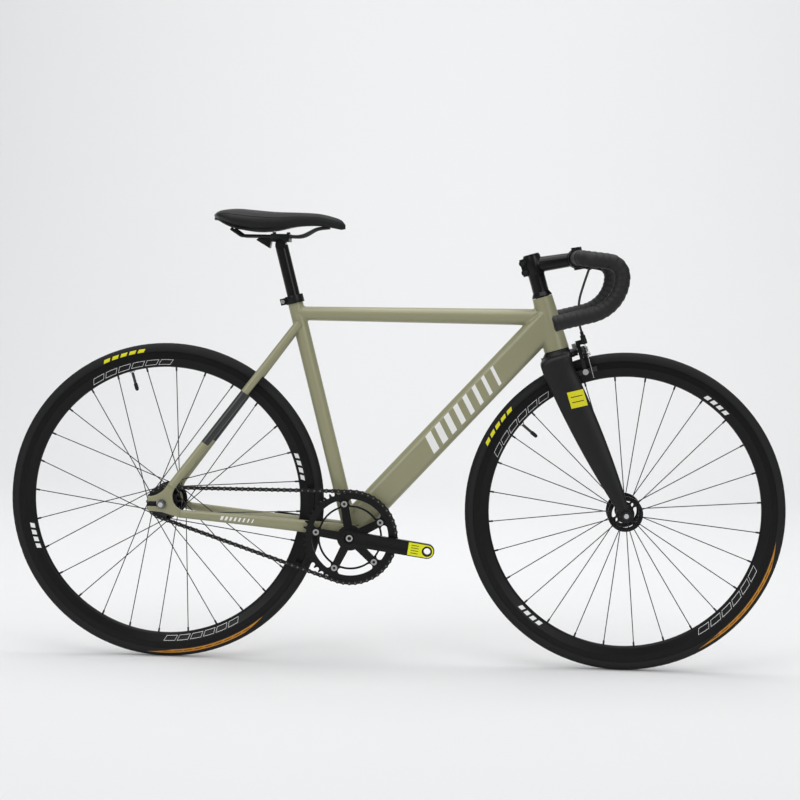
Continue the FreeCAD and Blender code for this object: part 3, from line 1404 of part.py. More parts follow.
def build_tyre(wheel, centre, valve_angle):
    section = "tyre_width / 2"
    middle = f"(bead_radius + tyre_height - {section})"
    lip = "(bead_radius + rim_edge_height + bead_gap)"
    foot = "(bead_radius + bead_gap)"
    inner = f"({section} - tyre_casing)"
    side = f"sqrt(({section})^2 - ({middle} - {lip})^2)"
    bead_out = "(rim_width / 2 - rim_hook - bead_gap)"
    bead_in = f"({bead_out} - bead_width)"
    throat = f"({middle} - sqrt({inner}^2 - {bead_in}^2))"
    tyre = turned(wheel + "_tyre_body", crosswise(centre), [
        (lip, f"-({side})", section),
        (f"{middle} + {section}", "0", section),
        (lip, side),
        (lip, bead_out),
        (foot, bead_out),
        (foot, bead_in),
        (throat, bead_in, f"-{inner}"),
        (f"{middle} + {inner}", "0", f"-{inner}"),
        (throat, f"-{bead_in}"),
        (foot, f"-{bead_in}"),
        (foot, f"-{bead_out}"),
        (lip, f"-{bead_out}"),
    ])
    keep(wheel + "_tyre", tyre)
    tube_radius = f"({inner} - tube_gap)"
    outer_tube = torus(wheel + "_tube_outer", middle, tube_radius, crosswise(centre))
    inner_tube = torus(wheel + "_tube_inner", middle, f"{tube_radius} - tube_wall", crosswise(centre))
    stem_start = rim_inner_radius - size.valve_length
    stem_end = value(middle) - value(inner) + size.tube_wall
    stem = cylinder(wheel + "_valve_stem", "valve_radius", stem_end - stem_start,
                    axes(polar(centre, stem_start, valve_angle), tilted(valve_angle), LEFT))
    tube = cut(wheel + "_tube_cut", fuse(wheel + "_tube_blank", outer_tube, stem), inner_tube)
    keep(wheel + "_inner_tube", tube)


def build_rim(wheel, centre, first_spoke, valve_angle):
    nose = "(bead_radius + rim_edge_height - rim_depth)"
    edge = "(bead_radius + rim_edge_height)"
    half = "(rim_width / 2)"
    nose_half = "(rim_nose_width / 2)"
    nose_bend = "((rim_nose_rise^2 + (rim_nose_width / 2)^2) / (2 * rim_nose_rise))"
    track = f"({edge} - rim_track_height)"
    hook = f"({half} - rim_hook)"
    bed = "(bead_radius - rim_bed_drop)"
    outer = [
        (f"{nose} + rim_nose_rise", f"-{nose_half}"),
        (track, f"-{half}"),
        (edge, f"-{half}"),
        (edge, f"-{hook}"),
        ("bead_radius", f"-{hook}"),
        (bed, f"-{hook} + rim_bed_bevel"),
        (bed, f"{hook} - rim_bed_bevel"),
        ("bead_radius", hook),
        (edge, hook),
        (edge, half),
        (track, half),
        (f"{nose} + rim_nose_rise", nose_half, f"{nose_bend}"),
        (nose, "0", f"{nose_bend}"),
    ]
    wall_half = f"({half} - rim_wall)"
    cavity = [
        (f"{nose} + rim_nose_rise", f"-({nose_half} - rim_wall)"),
        (track, f"-{wall_half}"),
        (f"{bed} - rim_wall", f"-{wall_half}"),
        (f"{bed} - rim_wall", wall_half),
        (track, wall_half),
        (f"{nose} + rim_nose_rise", f"{nose_half} - rim_wall"),
        (f"{nose} + rim_wall", "rim_nose_width / 6"),
        (f"{nose} + rim_wall", "-rim_nose_width / 6"),
    ]
    rim = turned(wheel + "_rim_body", crosswise(centre), outer, cavity)
    holes = []
    hole_radius = size.nipple_radius + size.bolt_gap
    hole_start = rim_inner_radius - size.rim_nose_rise
    count = int(size.spoke_count)
    for index in range(count):
        angle = first_spoke + index * 360 / count
        holes.append(Part.makeCylinder(hole_radius, 2 * size.rim_nose_rise, polar(centre, hole_start, angle),
                                       tilted(angle)))
    holes.append(Part.makeCylinder(size.valve_radius + size.bolt_gap, size.rim_depth,
                                   polar(centre, hole_start, valve_angle), tilted(valve_angle)))
    keep(wheel + "_rim", cut(wheel + "_rim_cut", rim, made(wheel + "_rim_holes", Part.makeCompound(holes))))


def build_hub(wheel, centre, spacing, flange_offset, first_spoke, right_neck):
    """A high-flange hub with lightening windows, two bearings and holes for the spokes."""
    half_shell = spacing / 2 - size.axle_cone_length + size.face_gap
    flange_in = flange_offset - size.flange_thickness / 2
    flange_out = flange_offset + size.flange_thickness / 2
    seat = half_shell - size.hub_bearing_width
    outline = [
        ("hub_bore_radius", -seat), ("hub_bearing_radius + seat_gap", -seat),
        ("hub_bearing_radius + seat_gap", -half_shell), (right_neck, -half_shell),
        (right_neck, -flange_out), ("flange_radius", -flange_out), ("flange_radius", -flange_in),
        ("hub_barrel_radius", -flange_in), ("hub_barrel_radius", flange_in), ("flange_radius", flange_in),
        ("flange_radius", flange_out), ("hub_barrel_radius", flange_out), ("hub_barrel_radius", half_shell),
        ("hub_bearing_radius + seat_gap", half_shell), ("hub_bearing_radius + seat_gap", seat),
        ("hub_bore_radius", seat),
    ]
    hub = turned(wheel + "_hub_body", crosswise(centre), outline)
    low, high, lean = size.window_inner_radius, size.window_outer_radius, size.window_half_angle
    window = slot_loop(low, high, -lean, lean)
    for reverse, name in ((False, "right"), (True, "left")):
        pocket_round(hub, f"{wheel}_window_{name}", int(size.window_count), [window], reverse=reverse)
        # A hole's angle is measured down from forward in the hub's own sketch
        angle = -(first_spoke + (180 / (size.spoke_count / 2) if reverse else 0))
        hole = (*around(size.spoke_circle_radius, angle), "spoke_radius + bolt_gap")
        pocket_round(hub, f"{wheel}_spoke_hole_{name}", int(size.spoke_count / 2), circles=[hole],
                     reverse=reverse)
    keep(wheel + "_hub", hub)
    bearings = [
        ring(f"{wheel}_bearing_{side}", "axle_radius + running_gap", "hub_bearing_radius",
             sign * (seat if sign > 0 else half_shell), sign * (half_shell if sign > 0 else seat),
             crosswise(centre))
        for side, sign in SIDES.items()]
    keep(wheel + "_hub_bearings", group(wheel + "_bearing_pair", *bearings))


def spoke_solid(hub_point, edge_point, rim_point, through):
    """One spoke: a headed elbow through the flange, a run along it and a straight run to the rim."""
    radius = size.spoke_radius
    wire = bent_wire([hub_point + through, hub_point, edge_point, rim_point], [2 * radius, 40 * radius])
    head = Part.makeCylinder(radius * 1.7, radius * 0.8, hub_point + through, through)
    return rod(wire, radius).fuse(head)


def past_flange(centre, hub_point, rim_point):
    """Where a spoke's run beside the flange passes the flange's edge."""
    heading = Vector(rim_point.x - hub_point.x, 0, rim_point.z - hub_point.z).normalize()
    offset = Vector(hub_point.x - centre.x, 0, hub_point.z - centre.z)
    leaving = offset.dot(heading)
    radius = size.flange_radius + 2 * size.spoke_radius
    return hub_point + heading * (math.sqrt(leaving ** 2 - offset.Length ** 2 + radius ** 2) - leaving)


def nipple_solid(edge_point, rim_point):
    """A nipple on the spoke's line."""
    run = (rim_point - edge_point).normalize()
    start = rim_point - run * (size.nipple_length - size.nipple_seat)
    body = Part.makeCylinder(size.nipple_radius, size.nipple_length, start, run)
    bore = Part.makeCylinder(size.spoke_radius + size.seat_gap, size.nipple_length + 2 * OVERCUT,
                             start - run * OVERCUT, run)
    return body.cut(bore)


def build_spokes(wheel, centre, flange_offset, first_spoke, crosses):
    """Spokes alternate between the flanges; with crosses they also alternate leading and trailing."""
    count = int(size.spoke_count)
    step = 360 / count
    clear = size.flange_thickness / 2 + size.spoke_radius + size.bolt_gap
    solids = []
    for index in range(count):
        side = -1 if index % 2 == 0 else 1
        leads = (index // 2) % 2 == 0
        outside = leads or crosses == 0
        angle = first_spoke + index * step
        lean = (1 if leads else -1) * crosses * 2 * step
        lateral = flange_offset + (clear if outside else -clear)
        hub_point = polar(centre, size.spoke_circle_radius, angle + lean, side * lateral)
        rim_point = polar(centre, rim_inner_radius + 1, angle)
        edge_point = past_flange(centre, hub_point, rim_point)
        through = LEFT * side * (-2 * clear if outside else 2 * clear)
        solids.append(spoke_solid(hub_point, edge_point, rim_point, through))
        solids.append(nipple_solid(edge_point, rim_point))
    keep(wheel + "_spokes", made(wheel + "_spoke_set", Part.makeCompound(solids)))


def build_axle(wheel, centre, spacing, end_thickness):
    """An axle with shoulders that bear on the inside faces of its two ends."""
    half = spacing / 2
    end = half + end_thickness + size.washer_thickness + size.nut_height + size.axle_overhang
    cone_start = half - size.axle_cone_length + 2 * size.face_gap
    axle = turned(wheel + "_axle_body", crosswise(centre), [
        ("0", -end), ("axle_radius", -end), ("axle_radius", -half), ("axle_cone_radius", -half),
        ("axle_cone_radius", -cone_start), ("axle_radius", -cone_start), ("axle_radius", cone_start),
        ("axle_cone_radius", cone_start), ("axle_cone_radius", half), ("axle_radius", half),
        ("axle_radius", end), ("0", end)])
    keep(wheel + "_axle", axle)
    nuts = []
    for side, sign in SIDES.items():
        where = axes(centre + LEFT * sign * (half + end_thickness), LEFT * sign, FORWARD)
        flats = size.nut_across_flats / 2
        hexagon = [around(flats / math.cos(math.pi / 6), 60 * corner) for corner in range(6)]
        nuts.append(ring(f"{wheel}_washer_{side}", "axle_radius + seat_gap", "washer_radius", "0",
                         "washer_thickness", where))
        nuts.append(plate(f"{wheel}_nut_{side}", shifted(where, 0, 0, size.washer_thickness), "nut_height",
                          [hexagon], [("0", "0", "axle_radius + seat_gap")]))
    keep(wheel + "_axle_nuts", group(wheel + "_nut_set", *nuts))


# Drive

def sprocket(name, teeth, where, first_gap, bore):
    """A toothed disc whose gaps seat the chain's rollers."""
    pitch = pitch_radius(teeth)
    seat = "(roller_radius + tooth_seat_gap)"
    top = f"{pitch:.6f} + tooth_height"
    mouth = f"({seat} + tooth_flank)"
    disc = plate(name, where, "tooth_width", circles=[("0", "0", top), ("0", "0", bore)])
    gap = [
        (pitch, f"-{seat}"),
        (f"{top} + {OVERCUT}", f"-{mouth}"),
        (f"{top} + {OVERCUT}", mouth),
        (pitch, seat, seat),
        (f"{pitch:.6f} - {seat}", "0", seat),
    ]
    turned_gap = Placement(Vector(), Rotation(UP, first_gap))
    pocket_round(disc, name + "_gap", int(teeth), [gap], reverse=True)
    disc.Placement = where * turned_gap
    return disc


def chain_stations():
    """Roller places along the pitch line, with the first roller's angle on the ring and on the cog."""
    ring_wrap, cog_wrap, tangent, lean = chain_wrap(centres)
    back = math.degrees(math.atan2(rear_axle_point.z - bracket.z, rear_axle_point.x - bracket.x))
    # The pitch line starts at the top of the ring and runs forward round it, then back, then round the cog
    top_angle = back - 90 + math.degrees(lean)
    ring_pitches = ring_wrap * size.chainring_teeth / (2 * math.pi)
    run_pitches = tangent / size.chain_pitch
    cog_pitches = cog_wrap * size.cog_teeth / (2 * math.pi)
    ring_step = 360 / size.chainring_teeth
    cog_step = 360 / size.cog_teeth
    bottom_angle = top_angle - math.degrees(ring_wrap)
    lower_start = polar(bracket, ring_pitch_radius, bottom_angle)
    lower_end = polar(rear_axle_point, cog_pitch_radius, bottom_angle)
    upper_start = polar(rear_axle_point, cog_pitch_radius, top_angle)
    upper_end = polar(bracket, ring_pitch_radius, top_angle)
    stations = []
    for index in range(int(size.chain_links)):
        along = index
        if along <= ring_pitches:
            stations.append(polar(bracket, ring_pitch_radius, top_angle - along * ring_step))
            continue
        along -= ring_pitches
        if along <= run_pitches:
            stations.append(lower_start + (lower_end - lower_start) * (along / run_pitches))
            continue
        along -= run_pitches
        if along <= cog_pitches:
            cog_angle = bottom_angle - along * cog_step
            stations.append(polar(rear_axle_point, cog_pitch_radius, cog_angle))
            continue
        along -= cog_pitches
        stations.append(upper_start + (upper_end - upper_start) * (along / run_pitches))
    return stations, top_angle, cog_angle


def link_plate(offset, thickness):
    """One chain plate, drawn along local X in the plane of the wheels, at an offset to the left."""
    radius = size.chain_plate_radius
    ends = [Part.makeCylinder(radius, thickness, Vector(end, offset, 0), LEFT)
            for end in (0, size.chain_pitch)]
    waist = Part.makeBox(size.chain_pitch, thickness, radius * 1.5, Vector(0, offset, -radius * 0.75))
    return ends[0].fuse([ends[1], waist]).removeSplitter()


def build_chain(stations):
    """Inner and outer links in turn, each a separate solid."""
    half = size.chain_inner_width / 2
    plate_width = size.chain_plate
    outer_half = half + plate_width + size.chain_play
    pin_half = outer_half + plate_width + size.pin_proud

    def at_both_pitches(radius, half_length):
        return [Part.makeCylinder(radius, 2 * half_length, Vector(end, -half_length, 0), LEFT)
                for end in (0, size.chain_pitch)]

    inner = link_plate(-half - plate_width, plate_width).fuse([
        link_plate(half, plate_width), *at_both_pitches(size.roller_radius, half)])
    inner = inner.cut(Part.makeCompound(at_both_pitches(size.pin_radius + size.running_gap, 2 * outer_half)))
    outer = link_plate(-outer_half - plate_width, plate_width).fuse([
        link_plate(outer_half, plate_width), *at_both_pitches(size.pin_radius, pin_half)])
    links = []
    for index, station in enumerate(stations):
        following = stations[(index + 1) % len(stations)]
        heading = following - station
        link = (inner if index % 2 == 0 else outer).copy()
        middle = (station + following) / 2 - LEFT * size.chain_line
        turn = Rotation(FORWARD, heading)
        link.Placement = Placement(middle - heading.normalize() * size.chain_pitch / 2, turn)
        links.append(link)
    keep("chain", made("chain_links_set", Part.makeCompound(links)))


def build_drive():
    stations, ring_gap_angle, cog_gap_angle = chain_stations()
    build_chain(stations)
    ring_face = -size.chain_line + size.tooth_width / 2
    chainring = sprocket("chainring_body", size.chainring_teeth,
                         beside(bracket.x, ring_face, bracket.z), ring_gap_angle, "chainring_bore_radius")
    half_step = 180 / size.spider_arms
    spider_angle = size.crank_angle + half_step
    local_spider = spider_angle - ring_gap_angle
    bolt_spot = (*around(size.bolt_circle_radius, local_spider), "chainring_bolt_radius + seat_gap")
    pocket_round(chainring, "chainring_bolt_hole", int(size.spider_arms), circles=[bolt_spot], reverse=True)
    middle, lean = local_spider + half_step, size.chainring_slot_half_angle
    slot = slot_loop(size.chainring_slot_inner, size.chainring_slot_outer, middle - lean, middle + lean)
    pocket_round(chainring, "chainring_slot", int(size.spider_arms), [slot], reverse=True)
    keep("chainring", chainring)
    cog = sprocket("cog_body", size.cog_teeth, beside(rear_axle_point.x, ring_face, rear_axle_point.z),
                   cog_gap_angle, "cog_bore_radius + seat_gap")
    keep("cog", cog)
    cog_outer = size.chain_line + size.tooth_width / 2
    keep("cog_lockring", ring("lockring_body", "cog_bore_radius + seat_gap", "cog_bore_radius + lockring_rim",
                              "0", "lockring_height",
                              axes(rear_axle_point - LEFT * cog_outer, -LEFT, FORWARD)))
    build_cranks(spider_angle)


def build_cranks(spider_angle):
    """Two cranks on one spindle; the right one carries the five-arm spider and the chainring."""
    spider_face = size.chain_line + size.tooth_width / 2
    boss_length = size.crank_inner_face + size.crank_thickness - size.crank_boss_face
    spindle_half = size.crank_inner_face + size.crank_thickness / 2
    spindle_space = cylinder("spindle_space", "spindle_end_radius + seat_gap", 2 * spindle_half,
                             crosswise(bracket - LEFT * spindle_half))
    arms = {}
    for side, sign in SIDES.items():
        turn = size.crank_angle + (0 if sign < 0 else 180)
        face = -size.crank_inner_face if sign < 0 else size.crank_inner_face + size.crank_thickness
        where = beside(bracket.x, face, bracket.z, turn)
        root, end = (0.0, 0.0), (size.crank_length, 0.0)
        blade = plate("crank_blade_" + side, where, "crank_thickness",
                      [link_loop(root, size.crank_root_radius, end, size.crank_end_radius)])
        boss = cylinder("crank_boss_" + side, "crank_hub_radius", boss_length,
                        axes(bracket + LEFT * sign * size.crank_boss_face, LEFT * sign, FORWARD))
        pedal_hole = cylinder("pedal_hole_" + side, "pedal_hole_radius", "crank_thickness",
                              shifted(where, size.crank_length, 0, 0))
        bolt_pit = cylinder("bolt_pit_" + side, "crank_bolt_radius + seat_gap", LONG,
                            axes(bracket + LEFT * sign * spindle_half, LEFT * sign, FORWARD))
        arms[side] = ([blade, boss], [pedal_hole, spindle_space, bolt_pit])
    spider_at = beside(bracket.x, -spider_face, bracket.z)
    spider = [plate("spider_hub", spider_at, size.crank_inner_face - spider_face + size.spider_overlap,
                    circles=[("0", "0", "spider_hub_radius")])]
    arm_angles = [spider_angle + index * 360 / size.spider_arms for index in range(int(size.spider_arms))]
    bolt_holes = []
    for index, angle in enumerate(arm_angles):
        spider.append(plate(f"spider_arm_{index}", beside(bracket.x, -spider_face, bracket.z, angle),
                            "spider_thickness",
                            [link_loop((size.spider_hub_radius / 2, 0.0), size.spider_root_half_width,
                                       (size.bolt_circle_radius, 0.0), size.spider_tab_radius)]))
        bolt_holes.append(cylinder(f"spider_hole_{index}", "chainring_bolt_radius + seat_gap", LONG,
                                   shifted(beside(bracket.x, LONG / 2, bracket.z, angle),
                                           size.bolt_circle_radius, 0, 0)))
    solids, spaces = arms["right"]
    keep("crank_right", cut("crank_right_cut", fuse("crank_right_blank", *solids, *spider), *spaces,
                            *bolt_holes))
    solids, spaces = arms["left"]
    keep("crank_left", cut("crank_left_cut", fuse("crank_left_blank", *solids), *spaces))

    stack = size.tooth_width + size.spider_thickness
    bolts = []
    head = size.chainring_bolt_head_height
    socket_end = stack + head - size.chainring_bolt_socket_depth
    for index, angle in enumerate(arm_angles):
        seat = shifted(beside(bracket.x, -spider_face + size.tooth_width, bracket.z, angle),
                       size.bolt_circle_radius, 0, 0)
        bolts.append(turned(f"ring_bolt_{index}", seat, [
            ("0", -head), ("chainring_bolt_head_radius", -head), ("chainring_bolt_head_radius", "0"),
            ("chainring_bolt_radius", "0"), ("chainring_bolt_radius", stack),
            ("chainring_bolt_head_radius", stack), ("chainring_bolt_head_radius", stack + head),
            ("chainring_bolt_socket_radius", stack + head), ("chainring_bolt_socket_radius", socket_end),
            ("0", socket_end)]))
    keep("chainring_bolts", group("ring_bolt_set", *bolts))
    crank_bolts = [
        turned("crank_bolt_" + side, axes(bracket + LEFT * sign * spindle_half, LEFT * sign, FORWARD), [
            ("0", "0"), ("crank_bolt_radius", "0"), ("crank_bolt_radius", "crank_bolt_height"),
            ("crank_bolt_radius - 1.5 * crank_bolt_dome", "crank_bolt_height + crank_bolt_dome"),
            ("crank_bolt_socket_radius", "crank_bolt_height + crank_bolt_dome"),
            ("crank_bolt_socket_radius", "crank_bolt_height / 3"), ("0", "crank_bolt_height / 3")])
        for side, sign in SIDES.items()]
    keep("crank_bolts", group("crank_bolt_pair", *crank_bolts))

    cup_half = size.bracket_shell_width / 2
    keep("bottom_bracket_spindle", turned("spindle_body", crosswise(bracket), [
        ("0", -spindle_half), ("spindle_end_radius", -spindle_half),
        ("spindle_end_radius", "-crank_boss_face"), ("spindle_radius", "-crank_boss_face + spindle_shoulder"),
        ("spindle_radius", "crank_boss_face - spindle_shoulder"), ("spindle_end_radius", "crank_boss_face"),
        ("spindle_end_radius", spindle_half), ("0", spindle_half)]))
    cups = []
    for side, sign in SIDES.items():
        cups.append(turned("cup_" + side, axes(bracket + LEFT * sign * cup_half, LEFT * sign, FORWARD), [
            ("spindle_radius + running_gap", "-bracket_shell_width / 4"),
            ("bracket_bore_radius - seat_gap", "-bracket_shell_width / 4"),
            ("bracket_bore_radius - seat_gap", "0"), ("cup_flange_radius", "0"),
            ("cup_flange_radius", "cup_flange_width"), ("spindle_radius + running_gap", "cup_flange_width")]))
    keep("bottom_bracket_cups", group("cup_pair", *cups))


# Seatpost and saddle

saddle_pivot = seat_at(size.saddle_pivot_distance).Base
rail_height = saddle_pivot.z + size.rail_rise
saddle_tail = saddle_pivot.x - size.saddle_tail_reach
# The width of the cover's flat underside against its widest
FOOT_SHARE = 0.88


def build_seatpost():
    top = size.saddle_pivot_distance
    bottom = top - size.seatpost_length
    post = cylinder("post_tube", "seatpost_radius", "seatpost_length", seat_at(bottom))
    bore = cylinder("post_bore", "seatpost_radius - seatpost_wall", "seatpost_length - 2 * barrel_radius",
                    seat_at(bottom))
    barrel = cylinder("post_barrel", "barrel_radius", "barrel_width",
                      crosswise(saddle_pivot - LEFT * size.barrel_width / 2))
    crest = box("post_crest", "4 * seatpost_radius", "4 * seatpost_radius", "2 * barrel_radius",
                Placement(saddle_pivot + UP * size.barrel_radius, Rotation()))
    crest_cut = cut("post_crest_cut", crest, cylinder("crest_keep", "barrel_radius", LONG,
                                                      crosswise(saddle_pivot - LEFT * LONG / 2)))
    keep("seatpost", cut("seatpost_cut", fuse("seatpost_blank", post, barrel), bore, crest_cut))


def build_saddle_clamp():
    """A cradle with a yoke behind it on the post's barrel, and a plate above that holds the rails."""
    middle = Vector(saddle_pivot.x, 0, rail_height)
    cradle_depth = size.rail_rise - size.barrel_radius / 2
    half_split = size.clamp_split / 2
    cradle = box("clamp_cradle", "clamp_length", "clamp_width", cradle_depth,
                 Placement(middle - UP * (cradle_depth / 2 + half_split), Rotation()))
    back = -size.clamp_length / 2
    top = size.rail_rise - size.yoke_inset
    floor = size.rail_rise - half_split - cradle_depth
    yoke = plate("clamp_yoke", beside(saddle_pivot.x, size.yoke_width / 2, saddle_pivot.z), "yoke_width", [[
        (back + size.yoke_root, top), (back - size.yoke_length + size.yoke_bevel, top),
        (back - size.yoke_length, top - size.yoke_bevel), (back - size.yoke_foot, top - size.yoke_drop),
        (back - size.yoke_gap, floor + size.yoke_gap), (back + size.yoke_root, floor + size.yoke_root)]])
    cover = box("clamp_cover", "clamp_length", "clamp_width", "clamp_plate",
                Placement(middle + UP * (size.clamp_plate / 2 + half_split), Rotation()))
    barrel_space = cylinder("barrel_space", "barrel_radius + running_gap", LONG,
                            crosswise(saddle_pivot - LEFT * LONG / 2))
    rails = [
        cylinder(f"rail_space_{side}", "rail_radius + running_gap", LONG,
                 axes(middle + LEFT * sign * size.rail_spread - FORWARD * LONG / 2, FORWARD, LEFT))
        for side, sign in SIDES.items()]
    bolts, holes = [], []
    for index, offset in enumerate((-size.clamp_bolt_spacing, size.clamp_bolt_spacing)):
        seat = middle + UP * (size.clamp_plate + half_split) + FORWARD * offset
        where = axes(seat, -UP, FORWARD)
        depth = size.clamp_plate + cradle_depth
        bolts.append(socket_bolt(f"saddle_bolt_{index}", "clamp_bolt_radius", depth,
                                 "1.6 * clamp_bolt_radius", "1.6 * clamp_bolt_radius", where))
        holes.append(cylinder(f"saddle_hole_{index}", "clamp_bolt_radius + seat_gap", LONG, where))
    lower = cut("clamp_cradle_cut", fuse("clamp_cradle_blank", cradle, yoke), barrel_space, *rails, *holes)
    upper = cut("clamp_cover_cut", cover, *rails, *holes)
    keep("saddle_clamp", group("saddle_clamp_set", lower, upper, *bolts))


def saddle_section(station, half_width, top, edge):
    """A crowned section with sides that draw in towards a flat underside."""
    rise = top - edge

    def spot(side, height):
        return Vector(station, side * half_width, edge + height * rise)

    def arc(start, middle, end):
        return Part.Arc(spot(*start), spot(*middle), spot(*end)).toShape()

    foot, waist, widest, shoulder, crest = (FOOT_SHARE, 0), (0.98, 0.16), (1, 0.38), (0.78, 0.84), (0, 1)

    def other(point):
        return -point[0], point[1]

    return Part.Wire([
        Part.LineSegment(spot(*other(foot)), spot(*foot)).toShape(),
        arc(foot, waist, widest),
        arc(widest, shoulder, crest),
        arc(crest, other(shoulder), other(widest)),
        arc(other(widest), other(waist), other(foot)),
    ])


def saddle_stations():
    """Stations from tail to nose: shares of the length, the half width and the height at top and edge."""
    return [
        (0.0, 0.40, 0.79, 0.63),
        (0.07, 0.84, 0.95, 0.53),
        (0.18, 1.0, 1.0, 0.32),
        (0.32, 0.93, 0.955, 0.245),
        (0.47, 0.66, 0.905, 0.28),
        (0.63, 0.42, 0.895, 0.44),
        (0.80, 0.31, 0.85, 0.48),
        (0.93, 0.25, 0.695, 0.42),
        (1.0, 0.13, 0.56, 0.375),
    ]


def build_saddle():
    lift = rail_height
    sections, bases = [], []
    for share, breadth, top, edge in saddle_stations():
        station = saddle_tail + share * size.saddle_length
        half_width = breadth * size.saddle_half_width
        base_top = lift + edge * size.saddle_height
        sections.append(saddle_section(station, half_width, lift + top * size.saddle_height,
                                       base_top + size.bolt_gap))
        bottom = base_top - size.saddle_base_thickness
        high = half_width * FOOT_SHARE - size.saddle_base_inset
        low = high - size.saddle_base_flare
        corners = [Vector(station, y, z) for y, z in (
            (-low, bottom), (low, bottom), (high, base_top), (-high, base_top))]
        bases.append(Part.makePolygon(corners + corners[:1]))
    keep("saddle_cover", made("saddle_cover_loft", Part.makeLoft(sections, True, False)))
    rear = saddle_tail + 0.16 * size.saddle_length
    nose = saddle_tail + 0.88 * size.saddle_length
    clamp_middle = saddle_pivot.x
    rails, rail_spaces = [], []
    for side, sign in SIDES.items():
        spread = LEFT * sign * size.rail_spread
        tail_spread = LEFT * sign * (size.rail_spread + size.rail_tail_flare)
        nose_spread = LEFT * sign * size.rail_spread * 0.35
        tail_socket = Vector(rear - 8, 0, lift + size.rail_tail_rise) + tail_spread
        tail_bend = Vector(rear + 14, 0, lift) + spread * 1.15
        run_start = Vector(clamp_middle - size.clamp_length, 0, lift) + spread
        run_end = Vector(clamp_middle + size.clamp_length * 1.2, 0, lift) + spread
        nose_bend = Vector(nose - 26, 0, lift + size.rail_nose_rise - 3) + nose_spread * 1.3
        nose_socket = Vector(nose, 0, lift + size.rail_nose_rise) + nose_spread
        bend_radii = [14, 60, 40, 40]
        wire = bent_wire([tail_socket, tail_bend, run_start, run_end, nose_bend, nose_socket], bend_radii)
        rails.append(made("rail_" + side, rod(wire, size.rail_radius)))
        rail_spaces.append(made("rail_socket_" + side, rod(wire, size.rail_radius + size.seat_gap)))
    keep("saddle_rails", group("saddle_rail_pair", *rails))
    base = made("saddle_base_loft", Part.makeLoft(bases, True, False))
    keep("saddle_base", cut("saddle_base_cut", base, *rail_spaces))


# Building, checking and writing

def build_bicycle():
    build_head_tube()
    build_seat_tube()
    down_solid = build_down_tube()
    build_top_tube(down_solid)
    build_bracket_shell()
    build_chainstays(down_solid)
    build_seatstays()
    build_track_ends()
    build_seat_clamp()
    build_headset()
    build_fork()
    build_stem()
    build_handlebar()
    lever_end = build_brake_lever()
    adjuster_end = build_caliper()
    build_housing(lever_end, adjuster_end)
    step = 360 / size.spoke_count
    front_first = size.front_valve_angle + step / 2
    rear_first = size.rear_valve_angle + step / 2
    for wheel, centre, valve_angle, first_spoke in (
            ("front", front_axle_point, size.front_valve_angle, front_first),
            ("rear", rear_axle_point, size.rear_valve_angle, rear_first)):
        build_tyre(wheel, centre, valve_angle)
        build_rim(wheel, centre, first_spoke, valve_angle)
    build_hub("front", front_axle_point, size.front_spacing, size.front_flange_offset, front_first,
              "hub_barrel_radius")
    build_hub("rear", rear_axle_point, size.rear_spacing, size.rear_flange_offset,
              rear_first + size.spoke_crosses * 2 * step, "cog_bore_radius")
    build_spokes("front", front_axle_point, size.front_flange_offset, front_first, 0)
    build_spokes("rear", rear_axle_point, size.rear_flange_offset, rear_first, size.spoke_crosses)
    build_axle("front", front_axle_point, size.front_spacing, size.fork_tip_thickness)
    build_axle("rear", rear_axle_point, size.rear_spacing, size.track_end_thickness)
    build_drive()
    build_seatpost()
    build_saddle_clamp()
    build_saddle()


def check_and_write():
    doc.recompute()
    for feature in doc.Objects:
        if "Invalid" in feature.State or "Error" in feature.State:
            raise RuntimeError(f"{feature.Name} failed: {feature.State}")
    for part in SUB_PARTS:
        if part.Shape.isNull() or not part.Shape.isValid() or not part.Shape.Solids:
            raise RuntimeError(f"{part.Label} has no valid solid")
    os.makedirs("parts", exist_ok=True)
    for part in SUB_PARTS:
        part.Shape.exportStep(f"parts/{part.Label}.step")
        print(f"{part.Label}: {len(part.Shape.Solids)} solids, {part.Shape.Volume / 1000:.1f} cm3")


build_bicycle()
check_and_write()
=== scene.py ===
import logging
import math
from collections.abc import Callable, Sequence
from dataclasses import dataclass, field, replace
from enum import Enum
from typing import Any

import bmesh
import bpy
from mathutils import Matrix, Vector
from mathutils.bvhtree import BVHTree


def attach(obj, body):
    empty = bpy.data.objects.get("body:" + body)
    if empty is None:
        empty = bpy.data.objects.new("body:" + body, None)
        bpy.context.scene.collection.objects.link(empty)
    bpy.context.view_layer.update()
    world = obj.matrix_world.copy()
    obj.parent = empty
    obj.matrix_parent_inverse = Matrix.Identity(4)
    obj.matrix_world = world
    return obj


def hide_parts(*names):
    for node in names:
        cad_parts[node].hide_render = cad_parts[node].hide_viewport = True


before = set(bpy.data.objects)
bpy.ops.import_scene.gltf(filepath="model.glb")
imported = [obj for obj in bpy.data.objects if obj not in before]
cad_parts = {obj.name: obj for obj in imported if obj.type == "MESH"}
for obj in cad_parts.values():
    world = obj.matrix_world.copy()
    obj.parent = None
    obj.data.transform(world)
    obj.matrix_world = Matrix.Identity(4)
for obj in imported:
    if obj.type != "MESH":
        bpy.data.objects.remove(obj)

# The looks of a fixed gear track bicycle, in metres: +X forward, +Y to the rider's left, +Z up.
LOG = logging.getLogger("track_bicycle")
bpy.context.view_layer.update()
MM = 0.001
EASED_PAST = 38.0
SIDES = {"right": -1.0, "left": 1.0}
LEFT = Vector((0.0, 1.0, 0.0))
UP = Vector((0.0, 0.0, 1.0))
FRONT_AXLE = Vector((0.4855, 0.0, 0.336))
REAR_AXLE = Vector((-0.4855, 0.0, 0.336))
AXLES = {"front": FRONT_AXLE, "rear": REAR_AXLE}
BRACKET = Vector((-0.089303, 0.0, 0.273))
